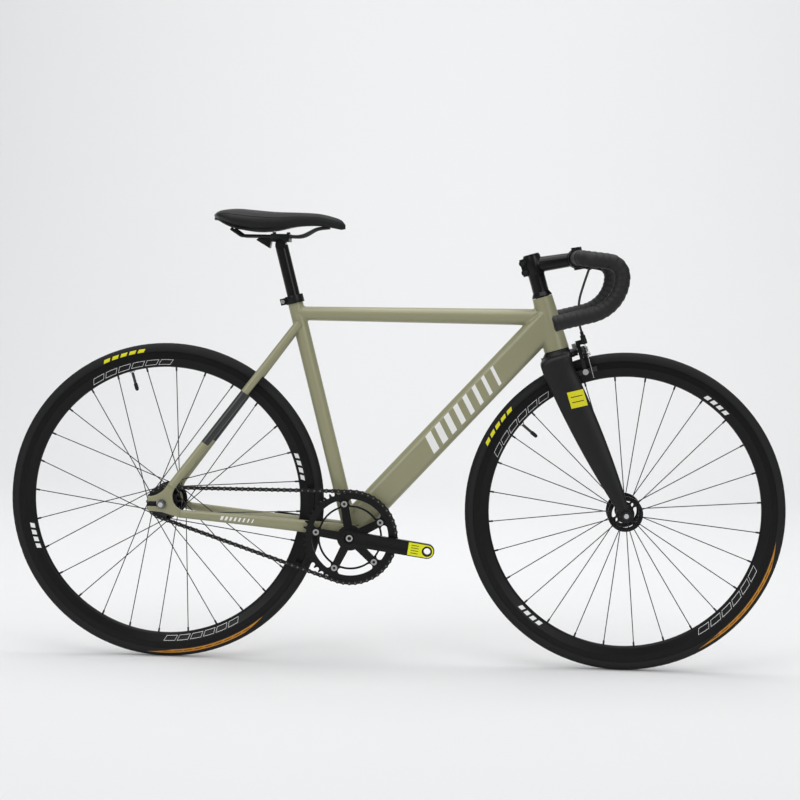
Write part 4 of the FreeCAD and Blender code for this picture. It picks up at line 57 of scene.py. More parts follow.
BAR_CENTRE = Vector((0.37173, 0.0, 0.86592))
Colour = tuple[float, float, float]


class Slot(Enum):
    """The record's material slots."""

    FRAME = "frame_paint"
    FORK = "fork_composite"
    ALLOY = "black_alloy"
    DARK_STEEL = "black_steel"
    STEEL = "bright_steel"
    TYRE = "tyre_rubber"
    RUBBER = "black_rubber"
    WRAP = "bar_wrap"
    PADDING = "saddle_padding"
    PLASTIC = "black_plastic"
    RAIL = "rail_alloy"


class Body(Enum):
    """The bodies that pieces ride on."""

    FRAME = "frame"
    STEERING = "steering"
    FRONT_WHEEL = "front_wheel"
    REAR_WHEEL = "rear_wheel"
    CRANKS = "cranks"
    LEVER = "brake_lever"
    CALIPER_RIGHT = "caliper_right"
    CALIPER_LEFT = "caliper_left"
    CRADLE = "saddle_cradle"
    SADDLE = "saddle"


# Shader values

class Signal:
    """A value on its way through a finish, on which Python's operators add Math nodes."""

    def __init__(self, board: "Board", socket: bpy.types.NodeSocket) -> None:
        """Hold one output socket of a board."""
        self.board = board
        self.socket = socket

    def maths(self, operation: str, *others: "Signal | float") -> "Signal":
        """One Math node with this value first."""
        return self.board.maths(operation, self, *others)

    def __add__(self, other: "Signal | float") -> "Signal":
        """The sum."""
        return self.maths("ADD", other)

    __radd__ = __add__

    def __sub__(self, other: "Signal | float") -> "Signal":
        """The difference."""
        return self.maths("SUBTRACT", other)

    def __rsub__(self, other: float) -> "Signal":
        """The difference from a number."""
        return self.board.maths("SUBTRACT", other, self)

    def __mul__(self, other: "Signal | float") -> "Signal":
        """The product."""
        return self.maths("MULTIPLY", other)

    __rmul__ = __mul__

    def __truediv__(self, other: "Signal | float") -> "Signal":
        """The quotient."""
        return self.maths("DIVIDE", other)

    def __rtruediv__(self, other: float) -> "Signal":
        """The quotient of a number by this value."""
        return self.board.maths("DIVIDE", other, self)

    def __gt__(self, other: "Signal | float") -> "Signal":
        """One where this value is the larger."""
        return self.maths("GREATER_THAN", other)

    def __lt__(self, other: "Signal | float") -> "Signal":
        """One where this value is the smaller."""
        return self.maths("LESS_THAN", other)

    def __abs__(self) -> "Signal":
        """The size without its sign."""
        return self.maths("ABSOLUTE")

    def fraction(self) -> "Signal":
        """What is left past the whole number."""
        return self.maths("FRACT")

    def wave(self, pitch: float) -> "Signal":
        """A sine between nought and one, once in each pitch."""
        return (self * (math.tau / pitch)).maths("SINE") * 0.5 + 0.5

    def hypot(self, other: "Signal") -> "Signal":
        """The length of this value and another at right angles to it."""
        return (self * self + other * other).maths("SQRT")

    def eased(self, low: float, high: float) -> "Signal":
        """Nought below one value, one above another and a smooth step between them.

        Args:
            low: Where the step starts.
            high: Where the step ends; under low, the step falls.

        Returns:
            The step.
        """
        first, last = (low, high) if low < high else (high, low)
        ends = {"To Min": 0.0, "To Max": 1.0} if low < high else {"To Min": 1.0, "To Max": 0.0}
        node = self.board.node("ShaderNodeMapRange", {"interpolation_type": "SMOOTHSTEP"},
                               {"Value": self, "From Min": first, "From Max": last, **ends})
        return Signal(self.board, node.outputs["Result"])


class Board:
    """The node tree of one finish."""

    def __init__(self, name: str) -> None:
        """Start an empty material.

        Args:
            name: The material's name.
        """
        self.material = bpy.data.materials.new(name)
        self.material.use_nodes = True
        self.tree = self.material.node_tree
        self.tree.nodes.clear()

    def node(self, kind: str, settings: dict[str, Any] | None = None,
             inputs: dict[str | int, Any] | None = None) -> bpy.types.Node:
        """Add a node.

        Args:
            kind: The node's type.
            settings: Its properties, set first.
            inputs: Values or signals for its sockets.

        Returns:
            The new node.
        """
        node = self.tree.nodes.new(kind)
        for key, value in (settings or {}).items():
            setattr(node, key, value)
        for key, value in (inputs or {}).items():
            if isinstance(value, Signal):
                self.tree.links.new(value.socket, node.inputs[key])
            else:
                node.inputs[key].default_value = value
        return node

    def maths(self, operation: str, *values: "Signal | float") -> Signal:
        """One Math node on values in their order."""
        node = self.node("ShaderNodeMath", {"operation": operation}, dict(enumerate(values)))
        return Signal(self, node.outputs[0])

    def place(self) -> Signal:
        """The point on the object, as a vector."""
        return Signal(self, self.node("ShaderNodeTexCoord").outputs["Object"])

    def axes(self) -> tuple[Signal, Signal, Signal]:
        """The point on the object, as three values."""
        node = self.node("ShaderNodeSeparateXYZ", None, {0: self.place()})
        return tuple(Signal(self, node.outputs[index]) for index in range(3))

    def stretched(self, scale: Sequence[float], turn: Sequence[float] = (0.0, 0.0, 0.0)) -> Signal:
        """The point on the object, scaled by each axis and turned by angles in radians."""
        node = self.node("ShaderNodeMapping", None,
                         {"Vector": self.place(), "Rotation": turn, "Scale": scale})
        return Signal(self, node.outputs[0])

    def noise(self, scale: float, detail: float = 3.0, vector: Signal | None = None) -> Signal:
        """Soft noise between nought and one, with its scale in features to the metre."""
        node = self.node("ShaderNodeTexNoise", None,
                         {"Vector": vector or self.place(), "Scale": scale, "Detail": detail})
        return Signal(self, node.outputs[0])

    def cells(self, scale: float, vector: Signal | None = None) -> Signal:
        """The distance from the middle of each cell of an irregular pattern, in cells to the metre."""
        node = self.node("ShaderNodeTexVoronoi", None, {"Vector": vector or self.place(), "Scale": scale})
        return Signal(self, node.outputs["Distance"])

    def mix(self, factor: "Signal | float", first: "Signal | Colour", second: "Signal | Colour") -> Signal:
        """One colour laid over another.

        Args:
            factor: How much of the second shows.
            first: The colour below.
            second: The colour above.

        Returns:
            The colour.
        """
        def filled(colour: "Signal | Colour") -> "Signal | tuple[float, ...]":
            """A colour as a socket takes it."""
            return colour if isinstance(colour, Signal) else (*colour, 1.0)

        node = self.node("ShaderNodeMix", {"data_type": "RGBA"},
                         {0: factor, 6: filled(first), 7: filled(second)})
        return Signal(self, node.outputs[2])

    def relief(self, height: Signal, depth: float) -> Signal:
        """A normal bumped by a relief between nought and one, where one stands depth metres high."""
        node = self.node("ShaderNodeBump", None, {"Strength": 1.0, "Distance": depth, "Height": height})
        return Signal(self, node.outputs["Normal"])

    def polar(self, centre: Vector) -> tuple[Signal, Signal]:
        """The distance from a wheel's axle and the angle up from forward, in degrees."""
        x, _, z = self.axes()
        across, rise = x - centre.x, z - centre.z
        return across.hypot(rise), rise.maths("ARCTAN2", across) * math.degrees(1.0)

    def within(self, value: Signal, low: float, high: float) -> Signal:
        """One where a value lies between two limits."""
        return (value > low) * (value < high)

    def surface(self, inputs: dict[str | int, Any]) -> bpy.types.Material:
        """Close the tree with one surface.

        Args:
            inputs: Values or signals for the surface's sockets.

        Returns:
            The finished material.
        """
        shader = self.node("ShaderNodeBsdfPrincipled", None, inputs)
        output = self.node("ShaderNodeOutputMaterial")
        self.tree.links.new(shader.outputs[0], output.inputs["Surface"])
        return self.material


# Finishes

@dataclass(frozen=True)
class Finish:
    """A surface with a slow drift of colour, uneven gloss and a fine grain."""

    name: str
    slot: Slot
    colour: Colour
    roughness: float
    metallic: float = 0.0
    coat: float = 0.0
    coat_roughness: float = 0.12
    specular: float = 0.5
    drift: float = 0.08
    drift_scale: float = 22.0
    gloss_drift: float = 0.06
    grain_scale: float = 1400.0
    grain_depth: float = 0.02 * MM

    def tint(self, board: Board) -> Signal:
        """The colour over the surface."""
        pale = tuple(channel * (1 + self.drift) for channel in self.colour)
        deep = tuple(channel * (1 - self.drift) for channel in self.colour)
        return board.mix(board.noise(self.drift_scale), deep, pale)

    def gloss(self, board: Board) -> Signal:
        """The roughness over the surface."""
        spread = board.noise(self.drift_scale * 4) - 0.5
        return spread * (2 * self.gloss_drift) + self.roughness

    def grain(self, board: Board) -> Signal:
        """The relief over the surface, between nought and one."""
        return board.noise(self.grain_scale, 2.0)

    def metal(self, board: Board) -> "Signal | float":
        """How metallic the surface is."""
        return self.metallic

    def make(self) -> bpy.types.Material:
        """Build the material, or give the one already built.

        Returns:
            The material.
        """
        known = bpy.data.materials.get(self.name)
        if known:
            return known
        board = Board(self.name)
        material = board.surface({
            "Base Color": self.tint(board), "Roughness": self.gloss(board), "Metallic": self.metal(board),
            "Normal": board.relief(self.grain(board), self.grain_depth), "Specular IOR Level": self.specular,
            "Coat Weight": self.coat, "Coat Roughness": self.coat_roughness})
        material.diffuse_color = (*self.colour, 1.0)
        return material


@dataclass(frozen=True)
class Stripe:
    """A row of slanted bars along a tube, thinning from one end to the other."""

    start: Vector
    heading: Vector
    length: float
    half_height: float
    bars: int
    slant: float
    thickest: float
    thinnest: float
    side_from: float
    side_slope: float = 0.0

    def mask(self, board: Board) -> Signal:
        """One on the bars.

        Args:
            board: The finish's nodes.

        Returns:
            The mask.
        """
        x, y, z = board.axes()
        right, rise = x - self.start.x, z - self.start.z
        along = right * self.heading.x + rise * self.heading.z
        above = rise * self.heading.x - right * self.heading.z
        leaned = (along - above * self.slant) / self.length
        cell = (leaned * self.bars).fraction()
        share = self.thickest + leaned * (self.thinnest - self.thickest)
        return ((cell < share) * board.within(leaned, 0.0, 1.0) * (abs(above) < self.half_height)
                * (abs(y) - along * self.side_slope > self.side_from))


@dataclass(frozen=True)
class FramePaint(Finish):
    """Sage enamel under a satin clear coat, with plain white bars and black bands on the seat stays."""

    white: Colour = (0.78, 0.78, 0.76)
    black: Colour = (0.012, 0.012, 0.013)
    band_start: Vector = Vector((-0.328, 0.0, 0.580))
    band_end: Vector = Vector((-0.404, 0.0, 0.469))
    band_limit: float = -0.2
    stripes: tuple[Stripe, ...] = ()

    def tint(self, board: Board) -> Signal:
        """Sage with the bars and the band laid over it."""
        colour = super().tint(board)
        for stripe in self.stripes:
            colour = board.mix(stripe.mask(board), colour, self.white)
        x, _, z = board.axes()
        run = self.band_end - self.band_start
        reach = ((x - self.band_start.x) * run.x + (z - self.band_start.z) * run.z) / run.length_squared
        return board.mix(board.within(reach, 0.0, 1.0) * (x < self.band_limit), colour, self.black)


@dataclass(frozen=True)
class ForkComposite(Finish):
    """Satin black composite with faint fibres and one plain yellow patch on the right blade."""

    yellow: Colour = (0.66, 0.62, 0.015)
    patch: Vector = Vector((0.3793, 0.0, 0.5755))
    patch_across: Vector = Vector((0.952, 0.0, 0.308))
    patch_down: Vector = Vector((0.243, 0.0, -0.970))
    patch_half: float = 17.3 * MM
    patch_side: float = -0.02
    line_share: float = 0.72
    line_offset: float = 5.5 * MM
    line_half: float = 0.9 * MM

    def tint(self, board: Board) -> Signal:
        """Black with the patch and its two fine lines laid over it."""
        x, y, z = board.axes()
        right, rise = x - self.patch.x, z - self.patch.z
        across, down = (right * axis.x + rise * axis.z for axis in (self.patch_across, self.patch_down))
        mask = (y < self.patch_side) * (abs(across) < self.patch_half) * (abs(down) < self.patch_half)
        lines = ((abs(abs(down) - self.line_offset) < self.line_half)
                 * (abs(across) < self.line_share * self.patch_half))
        return board.mix(mask * (1 - lines), super().tint(board), self.yellow)

    def grain(self, board: Board) -> Signal:
        """Fine fibres that run down the blades."""
        return board.noise(60.0, 4.0, board.stretched((22.0, 22.0, 1.5), (0.0, 0.17, 0.0)))


@dataclass(frozen=True)
class CrankAlloy(Finish):
    """Black anodised alloy with a plain yellow band on the outer face of the arm's end."""

    yellow: Colour = (0.72, 0.74, 0.02)
    crank_angle: float = -8.0
    length: float = 0.165
    band_start: float = 0.125
    border: float = 13.4 * MM
    eye: float = 10.9 * MM
    outer_face: float = 62.4 * MM
    line_start: float = 0.131
    line_end: float = 0.147
    line_pitch: float = 5.4 * MM
    line_share: float = 0.26
    lined_share: float = 0.7

    def tint(self, board: Board) -> Signal:
        """Black with the band and its fine lines laid over it, clear of the edge and of the hole."""
        x, y, z = board.axes()
        angle = math.radians(self.crank_angle)
        right, rise = x - BRACKET.x, z - BRACKET.z
        along = right * math.cos(angle) + rise * math.sin(angle)
        above = rise * math.cos(angle) - right * math.sin(angle)
        past = along - self.length
        reach = past.hypot(above)
        edge = past.maths("MAXIMUM", 0.0).hypot(above)
        mask = (along > self.band_start) * (edge < self.border) * (reach > self.eye) * (y < -self.outer_face)
        lines = (board.within(along, self.line_start, self.line_end)
                 * (abs(above) < self.lined_share * self.border)
                 * ((above / self.line_pitch + 0.5 + self.line_share / 2).fraction() < self.line_share))
        return board.mix(mask * (1 - lines), super().tint(board), self.yellow)


@dataclass(frozen=True)
class Mark:
    """A row of plain slanted marks on a wheel, between two angles and two radii."""

    first: float
    last: float
    inner: float
    outer: float
    count: int
    colour: Colour
    fill: float = 0.7
    outline: float = 0.0
    slant: float = 0.25

    def mask(self, board: Board, radius: Signal, angle: Signal) -> Signal:
        """One on the marks.

        Args:
            board: The finish's nodes.
            radius: The distance from the axle.
            angle: The angle up from forward, in degrees.

        Returns:
            The mask.
        """
        middle = (self.inner + self.outer) / 2
        span = math.radians(self.last - self.first) * middle
        height = (radius - self.inner) / (self.outer - self.inner)
        reach = (angle - self.first) * (self.count / (self.last - self.first)) + (height - 0.5) * self.slant
        cell = reach.fraction()
        shown = board.within(reach, 0.0, self.count) * board.within(height, 0.0, 1.0) * (cell < self.fill)
        if not self.outline:
            return shown
        edge_u = self.outline / (span / self.count)
        edge_v = self.outline / (self.outer - self.inner)
        inside = board.within(cell, edge_u, self.fill - edge_u) * board.within(height, edge_v, 1 - edge_v)
        return shown * (1 - inside)


@dataclass(frozen=True)
class WheelFinish(Finish):
    """A finish turned about an axle, with marks on both sides."""

    axle: Vector = FRONT_AXLE
    marks: tuple[Mark, ...] = ()

    def tint(self, board: Board) -> Signal:
        """The plain colour with the marks laid over it."""
        colour = super().tint(board)
        radius, angle = board.polar(self.axle)
        for mark in self.marks:
            colour = board.mix(mark.mask(board, radius, angle), colour, mark.colour)
        return colour


@dataclass(frozen=True)
class TyreRubber(WheelFinish):
    """Black rubber: a smooth crown with a fine seam, filed shoulders and ribbed sidewalls."""

    crown: float = 331.5 * MM
    shoulder: float = 325.5 * MM
    groove_pitch: float = 1.1
    groove_lean: float = 420.0
    groove_height: float = 0.9
    rib_pitch: float = 1.6 * MM
    rib_height: float = 0.35
    skin_height: float = 0.25
    fade: float = 2 * MM
    scuff: float = 0.12

    def grain(self, board: Board) -> Signal:
        """Crossed file grooves on the shoulders, round ribs on the walls and a fine skin."""
        radius, angle = board.polar(self.axle)
        _, y, _ = board.axes()
        grooves = (angle / self.groove_pitch + abs(y) * self.groove_lean).wave(1.0)
        band = (radius.eased(self.shoulder, self.shoulder + self.fade)
                * radius.eased(self.crown + MM, self.crown))
        walls = radius.eased(self.shoulder, self.shoulder - self.fade)
        return (grooves * band * self.groove_height + radius.wave(self.rib_pitch) * walls * self.rib_height
                + board.noise(2400.0, 2.0) * self.skin_height)

    def gloss(self, board: Board) -> Signal:
        """A crown scuffed duller than the walls."""
        radius, _ = board.polar(self.axle)
        return super().gloss(board) + radius.eased(self.shoulder, self.crown) * self.scuff


@dataclass(frozen=True)
class RimAlloy(WheelFinish):
    """Black anodised rim with a duller brake track."""

    track: float = 304.0 * MM
    track_edge: float = 0.3 * MM
    track_polish: float = 0.1
    lathe_pitch: float = 0.5 * MM
    lathe_height: float = 0.6

    def gloss(self, board: Board) -> Signal:
        """Satin walls and a finely turned brake track."""
        radius, _ = board.polar(self.axle)
        track = radius.eased(self.track - self.track_edge, self.track + self.track_edge)
        return super().gloss(board) - track * self.track_polish

    def grain(self, board: Board) -> Signal:
        """Turning lines on the track, over a fine grain."""
        radius, _ = board.polar(self.axle)
        lines = radius.wave(self.lathe_pitch) * (radius > self.track)
        return lines * self.lathe_height + super().grain(board) * (1 - self.lathe_height)


@dataclass(frozen=True)
class Banded(Finish):
    """A dark piece whose fasteners are bright past a distance from a plane."""

    bright: Colour = (0.42, 0.42, 0.41)
    limit: float = 1.0
    offset: float = 0.0
    facing: Vector = LEFT
    both_ways: bool = True
    behind: float = 9.0

    def fasteners(self, board: Board) -> Signal:
        """One on the fasteners."""
        x, y, z = board.axes()
        depth = x * self.facing.x + y * self.facing.y + z * self.facing.z + self.offset
        shown = (abs(depth) if self.both_ways else depth) > self.limit
        return shown * (x < self.behind)

    def tint(self, board: Board) -> Signal:
        """Black with bright fasteners."""
        return board.mix(self.fasteners(board), super().tint(board), self.bright)

    def metal(self, board: Board) -> Signal:
        """Bare metal on the fasteners."""
        return self.fasteners(board) * (1 - self.metallic) + self.metallic


@dataclass(frozen=True)
class RingedBolt(Finish):
    """A dark bolt with a bright ring round its socket."""

    bright: Colour = (0.45, 0.45, 0.44)
    centre: Vector = BRACKET
    inner: float = 4.0 * MM
    outer: float = 7.0 * MM

    def ring(self, board: Board) -> Signal:
        """One on the bright ring."""
        return board.within(board.polar(self.centre)[0], self.inner, self.outer)

    def tint(self, board: Board) -> Signal:
        """Dark with the ring laid over it."""
        return board.mix(self.ring(board), super().tint(board), self.bright)


@dataclass(frozen=True)
class BarWrap(Finish):
    """Matt black wrap with a fine pebbled skin and rows of pin holes, read from the strip's own map."""

    hole_pitch: float = 5.0 * MM
    hole_radius: float = 0.16
    hole_edge: float = 0.1
    hole_depth: float = 0.75

    def grain(self, board: Board) -> Signal:
        """Pebbles with pin holes let into them."""
        flat = board.node("ShaderNodeUVMap", {"uv_map": "wrap"}).outputs["UV"]
        node = board.node("ShaderNodeSeparateXYZ", None, {0: Signal(board, flat)})
        u, v = (Signal(board, node.outputs[index]) / self.hole_pitch for index in range(2))
        across, along = u.fraction() - 0.5, v.fraction() - 0.5
        holes = across.hypot(along).eased(self.hole_radius, self.hole_radius + self.hole_edge)
        return board.cells(1300.0).eased(0.0, 0.7) * (1 - self.hole_depth) + holes * self.hole_depth


@dataclass(frozen=True)
class SaddleSkin(Finish):
    """Black synthetic leather: pebbled on top, smoother along the sides."""

    tail_panel: float = -0.374
    tail_polish: float = 0.2
    pebble_height: float = 0.7

    def gloss(self, board: Board) -> Signal:
        """A glossier panel across the tail."""
        x, _, _ = board.axes()
        return super().gloss(board) - (x < self.tail_panel) * self.tail_polish

    def grain(self, board: Board) -> Signal:
        """Small pebbles with shallow creases between them."""
        pebbles = board.cells(900.0).eased(0.05, 0.65)
        return pebbles * self.pebble_height + board.noise(2600.0, 2.0) * (1 - self.pebble_height)


@dataclass(frozen=True)
class Brushed(Finish):
    """Bright metal with fine turning marks."""

    def grain(self, board: Board) -> Signal:
        """Fine marks round the axles."""
        return board.noise(500.0, 4.0, board.stretched((1.0, 9.0, 1.0)))


DOWN_TUBE_BARS = Stripe(Vector((0.0735, 0.0, 0.4694)), Vector((0.6737, 0.0, 0.7390)), 0.226, 0.0195, 8, 0.35,
                        0.62, 0.24, 0.0145)
CHAINSTAY_BARS = Stripe(Vector((-0.362, 0.0, 0.3082)), Vector((0.9956, 0.0, -0.0938)), 0.075, 0.0042, 8, 0.35,
                        0.62, 0.24, 0.0533, -0.146)


class Paints:
    """Every finish of the bicycle."""

    sage: Colour = (0.262, 0.255, 0.148)
    white: Colour = (0.80, 0.80, 0.80)
    signal_yellow: Colour = (0.70, 0.66, 0.02)
    amber: Colour = (0.50, 0.21, 0.02)
    black: Colour = (0.006, 0.006, 0.0064)

    def __init__(self) -> None:
        """Name the finishes by their slots."""
        black = self.black
        self.frame = FramePaint("sage_enamel", Slot.FRAME, self.sage, 0.36, coat=0.3, coat_roughness=0.16,
                                drift=0.025, gloss_drift=0.03, grain_scale=700.0, grain_depth=0.03 * MM,
                                stripes=(DOWN_TUBE_BARS, CHAINSTAY_BARS))
        self.fork = ForkComposite("satin_composite", Slot.FORK, (0.010, 0.010, 0.0105), 0.42, specular=0.24,
                                  grain_depth=0.02 * MM)
        self.alloy = Finish("black_anodised", Slot.ALLOY, black, 0.34, metallic=0.2, specular=0.24)
        self.gloss_black = Finish("gloss_black_anodised", Slot.ALLOY, (0.004, 0.004, 0.0043), 0.22,
                                  specular=0.24)
        self.dark_steel = Finish("black_steel", Slot.DARK_STEEL, (0.016, 0.0155, 0.015), 0.38, metallic=0.6)
        self.steel = Brushed("bright_steel", Slot.STEEL, (0.48, 0.48, 0.47), 0.3, metallic=1.0,
                             drift=0.05, grain_depth=0.03 * MM)
        self.grey_steel = Brushed("grey_steel", Slot.STEEL, (0.2, 0.2, 0.195), 0.34, metallic=1.0,
                                  drift=0.05, grain_depth=0.03 * MM)
        self.rubber = Finish("black_rubber", Slot.RUBBER, (0.010, 0.010, 0.010), 0.72, specular=0.2,
                             grain_depth=0.05 * MM)
        self.plastic = Finish("moulded_plastic", Slot.PLASTIC, (0.009, 0.009, 0.0095), 0.46, specular=0.22,
                              grain_scale=2000.0, grain_depth=0.04 * MM)
        self.rail = Finish("black_rail_alloy", Slot.RAIL, black, 0.32, metallic=0.4)
        self.wrap = BarWrap("pebbled_wrap", Slot.WRAP, (0.009, 0.009, 0.0094), 0.5, specular=0.32,
                            grain_depth=0.2 * MM)
        self.skin = SaddleSkin("saddle_leather", Slot.PADDING, (0.009, 0.009, 0.0095), 0.5, specular=0.22,
                               grain_depth=0.1 * MM)
        self.crank = CrankAlloy("crank_anodised", Slot.ALLOY, (0.005, 0.005, 0.0054), 0.3, specular=0.2)
        self.chain = Banded("chain_steel", Slot.DARK_STEEL, (0.024, 0.023, 0.022), 0.36, metallic=0.8,
                            bright=(0.17, 0.165, 0.155), limit=4.08 * MM, offset=44 * MM)
        self.clamp = Banded("seat_clamp_anodised", Slot.ALLOY, black, 0.3, specular=0.24, limit=11.1 * MM,
                            behind=-0.2376)
        self.shoe = Banded("brake_block_rubber", Slot.RUBBER, (0.010, 0.010, 0.010), 0.6, limit=34.0 * MM)
        self.brake_bolt = Banded("brake_bolt_steel", Slot.ALLOY, black, 0.3, limit=0.5745, both_ways=False,
                                 facing=Vector((0.9588, 0.0, 0.2840)))
        self.ring_bolt = Banded("chainring_bolt_steel", Slot.STEEL, (0.02, 0.02, 0.02), 0.35, metallic=0.6,
                                limit=0.05225, both_ways=False, facing=-LEFT)
        self.crank_bolt = RingedBolt("crank_bolt_steel", Slot.STEEL, (0.012, 0.012, 0.012), 0.3,
                                     metallic=0.6)
        self.tyres = {"front": self.tyre("front"), "rear": self.tyre("rear")}
        self.rims = {"front": self.rim("front"), "rear": self.rim("rear")}

    def tyre(self, wheel: str) -> TyreRubber:
        """One wheel's rubber with its plain coloured marks."""
        yellow, amber = {"front": ((138.5, 155.9), (-55.3, -14.7)),
                         "rear": ((98.9, 116.0), (-91.9, -53.8))}[wheel]
        marks = (Mark(*yellow, 319.5 * MM, 326.5 * MM, 5, self.signal_yellow, 0.72),
                 Mark(*amber, 320.5 * MM, 327.5 * MM, 1, self.amber, 1.0),
                 Mark(amber[0] + 1.2, amber[1] - 1.2, 323.2 * MM, 324.8 * MM, 9, (0.03, 0.02, 0.02), 0.8))
        return TyreRubber(f"{wheel}_tyre_rubber", Slot.TYRE, (0.0105, 0.0105, 0.011), 0.6, drift=0.12,
                          specular=0.22, grain_depth=0.22 * MM, axle=AXLES[wheel], marks=marks)

    def rim(self, wheel: str) -> RimAlloy:
        """One wheel's rim with plain outlined marks and short white marks."""
        outlined, filled = {
            "front": (((124.0, 158.0), (-57.0, -20.8)), ((45.6, 58.0), (-136.4, -123.9))),
            "rear": (((88.4, 123.5), (-90.0, -57.2)), ((-169.1, -157.4), (10.1, 22.4)))}[wheel]
        marks = [Mark(*place, 290.5 * MM, 301.5 * MM, 6, self.white, 0.84, 0.75 * MM) for place in outlined]
        marks += [Mark(*place, 291.5 * MM, 300.0 * MM, 4, self.white, 0.66) for place in filled]
        return RimAlloy(f"{wheel}_rim_anodised", Slot.ALLOY, (0.005, 0.005, 0.0054), 0.34,
                        specular=0.18, axle=AXLES[wheel], marks=tuple(marks))


# Pieces

def dress(finish: Finish, *nodes: str) -> None:
    """Give frame nodes their finish.

    Args:
        finish: The finish.
        nodes: The nodes' names.
    """
    material = finish.make()
    for node in nodes:
        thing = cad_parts[node]
        if not thing.material_slots:
            thing.data.materials.append(material)
        for slot in thing.material_slots:
            slot.material = material
        LOG.info("dressed %s in %s", node, finish.name)


def linked(name: str, data: bpy.types.ID) -> bpy.types.Object:
    """A new object in the scene.

    Args:
        name: The object's name.
        data: Its mesh, lamp or camera.

    Returns:
        The object.
    """
    thing = bpy.data.objects.new(name, data)
    bpy.context.scene.collection.objects.link(thing)
    return thing


def smooth_mesh(mesh: bmesh.types.BMesh, name: str) -> bpy.types.Mesh:
    """Keep a mesh under a name, with all its faces shaded smooth.

    Args:
        mesh: The mesh, freed here.
        name: The name.

    Returns:
        The kept mesh.
    """
    data = bpy.data.meshes.new(name)
    for face in mesh.faces:
        face.smooth = True
    mesh.to_mesh(data)
    mesh.free()
    return data


def parts_of(geometry: Sequence[Any], kind: type) -> list[Any]:
    """The corners, edges or faces in what an operator gave back."""
    return [part for part in geometry if isinstance(part, kind)]


def pulled(mesh: bmesh.types.BMesh, edges: Sequence[Any]) -> tuple[list[Any], list[Any]]:
    """Pull a sheet out of edges.

    Args:
        mesh: The mesh.
        edges: The edges.

    Returns:
        The sheet's new corners and its new far edges.
    """
    grown = bmesh.ops.extrude_edge_only(mesh, edges=list(edges))["geom"]
    corners = parts_of(grown, bmesh.types.BMVert)
    fresh = set(corners)
    return corners, [edge for edge in parts_of(grown, bmesh.types.BMEdge) if fresh.issuperset(edge.verts)]


def round_over(mesh: bmesh.types.BMesh, width: float, past: float, segments: int = 3) -> None:
    """Round over a mesh's hard edges.

    Args:
        mesh: The mesh.
        width: How far each edge is eased back.
        past: The angle in degrees past which an edge is eased.
        segments: Steps round each edge.
    """
    edges = [edge for edge in mesh.edges
             if edge.is_manifold and edge.calc_face_angle(0.0) > math.radians(past)]
    bmesh.ops.bevel(mesh, geom=edges, offset=width, offset_type="OFFSET", segments=segments, profile=0.5,
                    affect="EDGES", material=-1, clamp_overlap=True)


def in_mm(*corners: tuple[float, float]) -> list[tuple[float, float]]:
    """An outline whose corners are given in millimetres."""
    return [(radius * MM, height * MM) for radius, height in corners]


def settle(mesh: bmesh.types.BMesh, name: str, body: Body, finish: Finish, stands_for: Sequence[str] = (),
           sharp: float = 32.0) -> bpy.types.Object:
    """Turn a finished mesh into a piece that rides on a body.

    Args:
        mesh: The mesh, freed here.
        name: The piece's name.
        body: The body that carries it.
        finish: Its finish.
        stands_for: The nodes that it hides.
        sharp: The angle in degrees past which an edge stays sharp.

    Returns:
        The piece.
    """
    data = smooth_mesh(mesh, name)
    data.set_sharp_from_angle(angle=math.radians(sharp))
    piece = linked(name, data)
    data.materials.append(finish.make())
    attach(piece, body.value)
    if stands_for:
        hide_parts(*stands_for)
    LOG.info("built %s with %d faces on %s", name, len(data.polygons), body.value)
    return piece


def merged_copy(node: str) -> bmesh.types.BMesh:
    """A node's mesh as one closed surface, with flat areas made whole."""
    mesh = bmesh.new()
    mesh.from_mesh(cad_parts[node].data)
    bmesh.ops.remove_doubles(mesh, verts=mesh.verts, dist=0.01 * MM)
    bmesh.ops.dissolve_limit(mesh, angle_limit=math.radians(0.4), use_dissolve_boundaries=False,
                             verts=mesh.verts, edges=mesh.edges)
    return mesh


def soften(node: str, body: Body, finish: Finish, width: float, segments: int = 3) -> bpy.types.Object:
    """A hard node with its sharp edges rounded over, which stands for the node.

    Args:
        node: The node's name.
        body: The body that carries it.
        finish: Its finish.
        width: How far each edge is eased back.
        segments: Steps round each edge.

    Returns:
        The piece.
    """
    mesh = merged_copy(node)
    round_over(mesh, width, EASED_PAST, segments)
    return settle(mesh, f"{node}_eased", body, finish, [node])


def turned_piece(name: str, body: Body, finish: Finish, origin: Vector, axis: Vector,
                 outline: Sequence[tuple[float, float]], steps: int = 40) -> bpy.types.Object:
    """A turned piece from an outline of (radius, height) along an axis.

    Args:
        name: The piece's name.
        body: The body that carries it.
        finish: Its finish.
        origin: Where height is nought.
        axis: The direction of height.
        outline: Corners from one end on the axis to the other.
        steps: Steps round the axis.

    Returns:
        The piece.
    """
    along = axis.normalized()
    across = along.orthogonal().normalized()
    mesh = bmesh.new()
    corners = [mesh.verts.new(origin + across * radius + along * height) for radius, height in outline]
    edges = [mesh.edges.new(pair) for pair in zip(corners, corners[1:])]
    bmesh.ops.spin(mesh, geom=corners + edges, cent=origin, axis=along, angle=math.tau, steps=steps,
                   use_merge=True)
    bmesh.ops.remove_doubles(mesh, verts=mesh.verts, dist=0.005 * MM)
    bmesh.ops.recalc_face_normals(mesh, faces=mesh.faces)
    return settle(mesh, name, body, finish)


